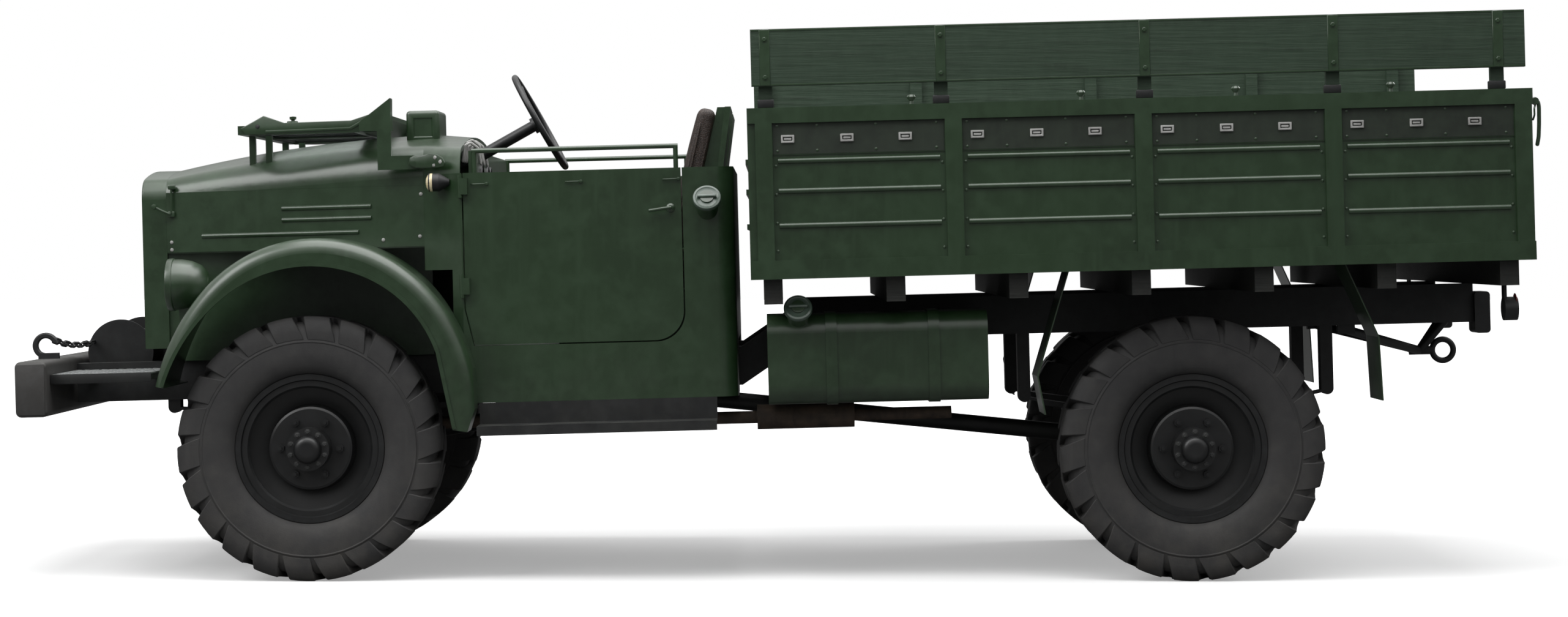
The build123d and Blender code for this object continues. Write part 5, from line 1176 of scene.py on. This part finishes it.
# %% [markdown]
# ## Hub bolts
# Ten small bolts hold each driving flange to its hub. They are copied round a ring, and the ring round the four
# wheels, where it rides on the wheel and turns with it.

# %% Hub bolts
FLANGE_BOLTS = 10
FLANGE_FACE = -0.146
FLANGE_RING = 0.066
hub_ring = [Matrix.Rotation(2 * math.pi * number / FLANGE_BOLTS, 4, "Y") @ at(0, FLANGE_FACE, FLANGE_RING)
            @ FACE_OUT for number in range(FLANGE_BOLTS)]
hub_bolts = repeated("hub_bolts", bolt("bolt", BOLT_RADIUS), hub_ring)
for end, side, place in wheel_places:
    turn = Matrix.Identity(4) if side == "left" else Matrix.Rotation(math.pi, 4, "Z")
    hub_set = placed(hub_bolts, place @ turn)
    hub_set.name = f"hub_bolts_{end}_{side}"
    fitted(hub_set, casting_paint, f"wheel_{end}_{side}_body", "iron", sprung=False)
bpy.data.objects.remove(hub_bolts)

# %% [markdown]
# ## Seats
# The seats are thin leathercloth over springs. A pad is not a box: its top is crowned, its sides pull in between
# the corners, shallow channels run across it and a piped seam goes round its rim. A cloth simulation with
# pressure would swell such a pad. Here a divided cube gives enough points, and each is moved by where it lies on
# the pad, which keeps the sewn channels sharp and comes out the same each time.

# %% Padded forms
CUTS = 36
CHANNEL_WIDTH = 0.014
CHANNEL_DEPTH = 0.011
DRAWN_IN = 0.008
SIDE = 0.999


def pad(name, size, crown, channels, edge):
    """A padded form about the origin, its crowned face up: soft edges, drawn-in sides, sewn channels."""
    deselect()
    bpy.ops.mesh.primitive_cube_add(size=2)
    piece = bpy.context.object
    piece.name = name
    bpy.ops.object.mode_set(mode="EDIT")
    bpy.ops.mesh.select_all(action="SELECT")
    bpy.ops.mesh.subdivide(number_cuts=CUTS)
    bpy.ops.object.mode_set(mode="OBJECT")
    half = Vector(size) / 2
    for point in piece.data.vertices:
        a, b, c = point.co
        spot = Vector((a * half.x, b * half.y, c * half.z))
        core = Vector([max(-h + edge, min(h - edge, s)) for s, h in zip(spot, half)])
        out = spot - core
        if out.length > NEAR:
            spot = core + out.normalized() * edge
        middle = (1 - a * a) * (1 - b * b)
        if c > 0:
            spot.z += crown * c * middle ** 0.6
            for share in channels:
                away = (b - share) * half.y / CHANNEL_WIDTH
                spot.z -= CHANNEL_DEPTH * math.exp(-away * away) * (1 - a ** 6) * c
        pull = DRAWN_IN * (1 - c * c)
        if abs(a) > SIDE:
            spot.x -= math.copysign(pull * (1 - b * b), a)
        if abs(b) > SIDE:
            spot.y -= math.copysign(pull * (1 - a * a), b)
        point.co = spot
    return piece


RING_SECTION = 0.02
SQUARENESS = 9


def piping(name, size, radius, lift):
    """The piped seam round a pad's rim: a rounded loop with a round section."""
    deselect()
    bpy.ops.mesh.primitive_torus_add(major_segments=96, minor_segments=8, major_radius=1,
                                     minor_radius=RING_SECTION)
    piece = bpy.context.object
    piece.name = name
    half = Vector((size[0] / 2, size[1] / 2, 0))
    for point in piece.data.vertices:
        flat = Vector((point.co.x, point.co.y, 0))
        way = flat.normalized()
        swell = (flat.length - 1) / RING_SECTION * radius
        power = (abs(way.x) ** SQUARENESS + abs(way.y) ** SQUARENESS) ** (-1 / SQUARENESS)
        rim = Vector((way.x * power * half.x, way.y * power * half.y, 0))
        steep = SQUARENESS - 2
        normal = Vector((way.x * abs(way.x) ** steep / half.x, way.y * abs(way.y) ** steep / half.y, 0))
        rise = lift + point.co.z / RING_SECTION * radius
        point.co = rim + normal.normalized() * swell + Vector((0, 0, rise))
    return piece


def piped_pad(name, size, crown, edge, seam_in, seam_radius, seam_drop):
    """A pad with its piped seam, about the origin."""
    body = pad(name, size, crown, CHANNEL_SHARES, edge)
    seam = piping("seam", (size[0] - seam_in, size[1] - seam_in), seam_radius, size[2] / 2 - seam_drop)
    return joined(name, [body, seam])


SEATS = ((-0.72, -0.09), (0.05, 0.72))
SEAT_GAP = 0.008
CHANNEL_SHARES = [(number / 3 - 1) * 0.86 for number in range(7)]
CUSHION_X = (-0.797, -0.312)
CUSHION_Z = (1.092, 1.238)
cushions = []
for y0, y1 in SEATS:
    size = (CUSHION_X[1] - CUSHION_X[0], y1 - y0 - SEAT_GAP, CUSHION_Z[1] - CUSHION_Z[0])
    cushion = piped_pad("cushion", size, 0.018, 0.04, 0.01, 0.0045, 0.024)
    cushion.location = (sum(CUSHION_X) / 2, (y0 + y1) / 2, sum(CUSHION_Z) / 2)
    settle(cushion)
    cushions.append(cushion)
cushions = fitted(joined("seat_cushion_pads", cushions), seat_hide, "truck_body", "hide", smooth=60)
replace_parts(cushions, "seat_cushions")

BACK_LEAN = math.atan2(0.13, 0.534)
BACK_LENGTH = 0.5496
BACK_THICK = 0.066
BACK_X = -0.279
BACK_Z = 1.517
backs = []
for y0, y1 in SEATS:
    size = (BACK_LENGTH - SEAT_GAP, y1 - y0 - SEAT_GAP, BACK_THICK)
    back = piped_pad("back", size, 0.016, 0.028, 0.006, 0.0042, 0.018)
    back.matrix_world = (at(BACK_X, (y0 + y1) / 2, BACK_Z)
                         @ Matrix.Rotation(BACK_LEAN - math.radians(90), 4, "Y"))
    settle(back)
    backs.append(back)
backs = fitted(joined("seat_back_pads", backs), seat_hide, "truck_body", "hide", smooth=60)
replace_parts(backs, "seat_backs")

# %% [markdown]
# ## The driver's place
# Levers rise between the seats, three pedals hang in front, and the dashboard carries a few round dials. Pipes
# run over the edge of the cowl to the dials' backs. Painted dials would be quicker, but they look flat from the
# side, so each dial is turned and its needle and marks are small bars.

# %% Levers, pedals, dials and pipes
LEVER = [(0, 0), (0.055, 0), (0.052, 0.008), (0.034, 0.014), (0.038, 0.022), (0.026, 0.03), (0.03, 0.038),
         (0.016, 0.05), (0.0085, 0.052), (0.0075, 0.4), (0.01, 0.404), (0.02, 0.418), (0.0235, 0.434),
         (0.018, 0.452), (0, 0.458)]
FLOOR_TOP = 0.9
levers = []
for x, y, lean, length in ((-0.9, -0.045, 10, 1.0), (-0.86, 0.025, 4, 0.8), (-0.84, -0.1, -6, 0.72)):
    lever = turned("lever", LEVER, steps=20)
    lever.matrix_world = (at(x, y, FLOOR_TOP) @ Matrix.Rotation(math.radians(lean), 4, "Y")
                          @ Matrix.Diagonal((1, 1, length, 1)))
    settle(lever)
    levers.append(lever)
fitted(joined("levers", levers), wheel_paint, "truck_body", "black")
pedals = []
for y in (-0.55, -0.43):
    pedals.append(block("pedal", (-1.03, y - 0.036, 1.02), (-1.016, y + 0.036, 1.1), 0.005))
    pedals.append(rod("pedal_arm", [(-1.023, y, 1.06), (-1.06, y, 1.05), (-1.1, y, 1.12), (-1.13, y, 1.3)],
                      0.008))
pedals.append(block("pedal", (-1.06, -0.33, 0.915), (-1.045, -0.28, 1.06), 0.005))
pedals.append(rod("pedal_arm", [(-1.052, -0.305, 0.99), (-1.09, -0.305, 0.96), (-1.12, -0.305, 0.91)], 0.007))
fitted(joined("pedals", pedals), wheel_paint, "truck_body", "black")
DASH_FACE = -1.098
DIAL = [(0, 0), (0.5, 0), (0.5, 0.07), (0.46, 0.1), (0.44, 0.07), (0.43, 0.03), (0, 0.03)]
DIAL_DEPTH = 0.12
LARGE = 0.1
SMALL = 0.062
NEEDLE_ANGLE = -50
TICKS = 9
TICK_ANGLE = 30
dials = []
marks = []


def bar_on_dial(size, lift, thickness, half, reach, edge, centre, angle):
    """A small bar on a dial's face, turned about the dial's middle."""
    low = (DASH_FACE + lift, -half, size * reach[0])
    piece = block("bar", low, (DASH_FACE + thickness, half, size * reach[1]), edge, 1)
    piece.matrix_world = at(0, *centre) @ Matrix.Rotation(math.radians(angle), 4, "X")
    settle(piece)
    return piece


for y, z, size in ((-0.52, 1.545, LARGE), (-0.26, 1.545, LARGE), (-0.14, 1.56, SMALL), (-0.14, 1.49, SMALL),
                   (-0.06, 1.525, SMALL)):
    profile = [(radius * size, height * DIAL_DEPTH) for radius, height in DIAL]
    dials.append(turned("dial", profile, (DASH_FACE - SEAT_IN, y, z), BACK, LENS_STEPS))
    marks.append(bar_on_dial(size, 0.003, 0.0045, 0.0012, (-0.06, 0.34), 0.0004, (y, z), NEEDLE_ANGLE))
    for tick in range(TICKS):
        marks.append(bar_on_dial(size, 0.002, 0.0034, 0.0008, (0.33, 0.4), 0.0002, (y, z),
                                 TICK_ANGLE * (tick - TICKS // 2)))
fitted(joined("dials", dials), wheel_paint, "truck_body", "black")
fitted(joined("dial_marks", marks), bare_steel, "truck_body", "alloy")
PIPE_START = -0.6
PIPE_PITCH = 0.075
PIPE_TOP = 1.665
PIPE_STAGGER = 0.012
pipes = []
for number in range(5):
    y = PIPE_START + number * PIPE_PITCH
    top = PIPE_TOP + PIPE_STAGGER * (number % 2)
    pipes.append(rod("pipe", [(-1.158, y, 1.6), (-1.15, y, top), (-1.128, y + 0.01, top + 0.012),
                              (-1.1, y + 0.02, top - 0.01), (-1.09, y + 0.026, top - 0.075)], 0.006))
fitted(joined("dash_pipes", pipes), bare_steel, "truck_body", "alloy")
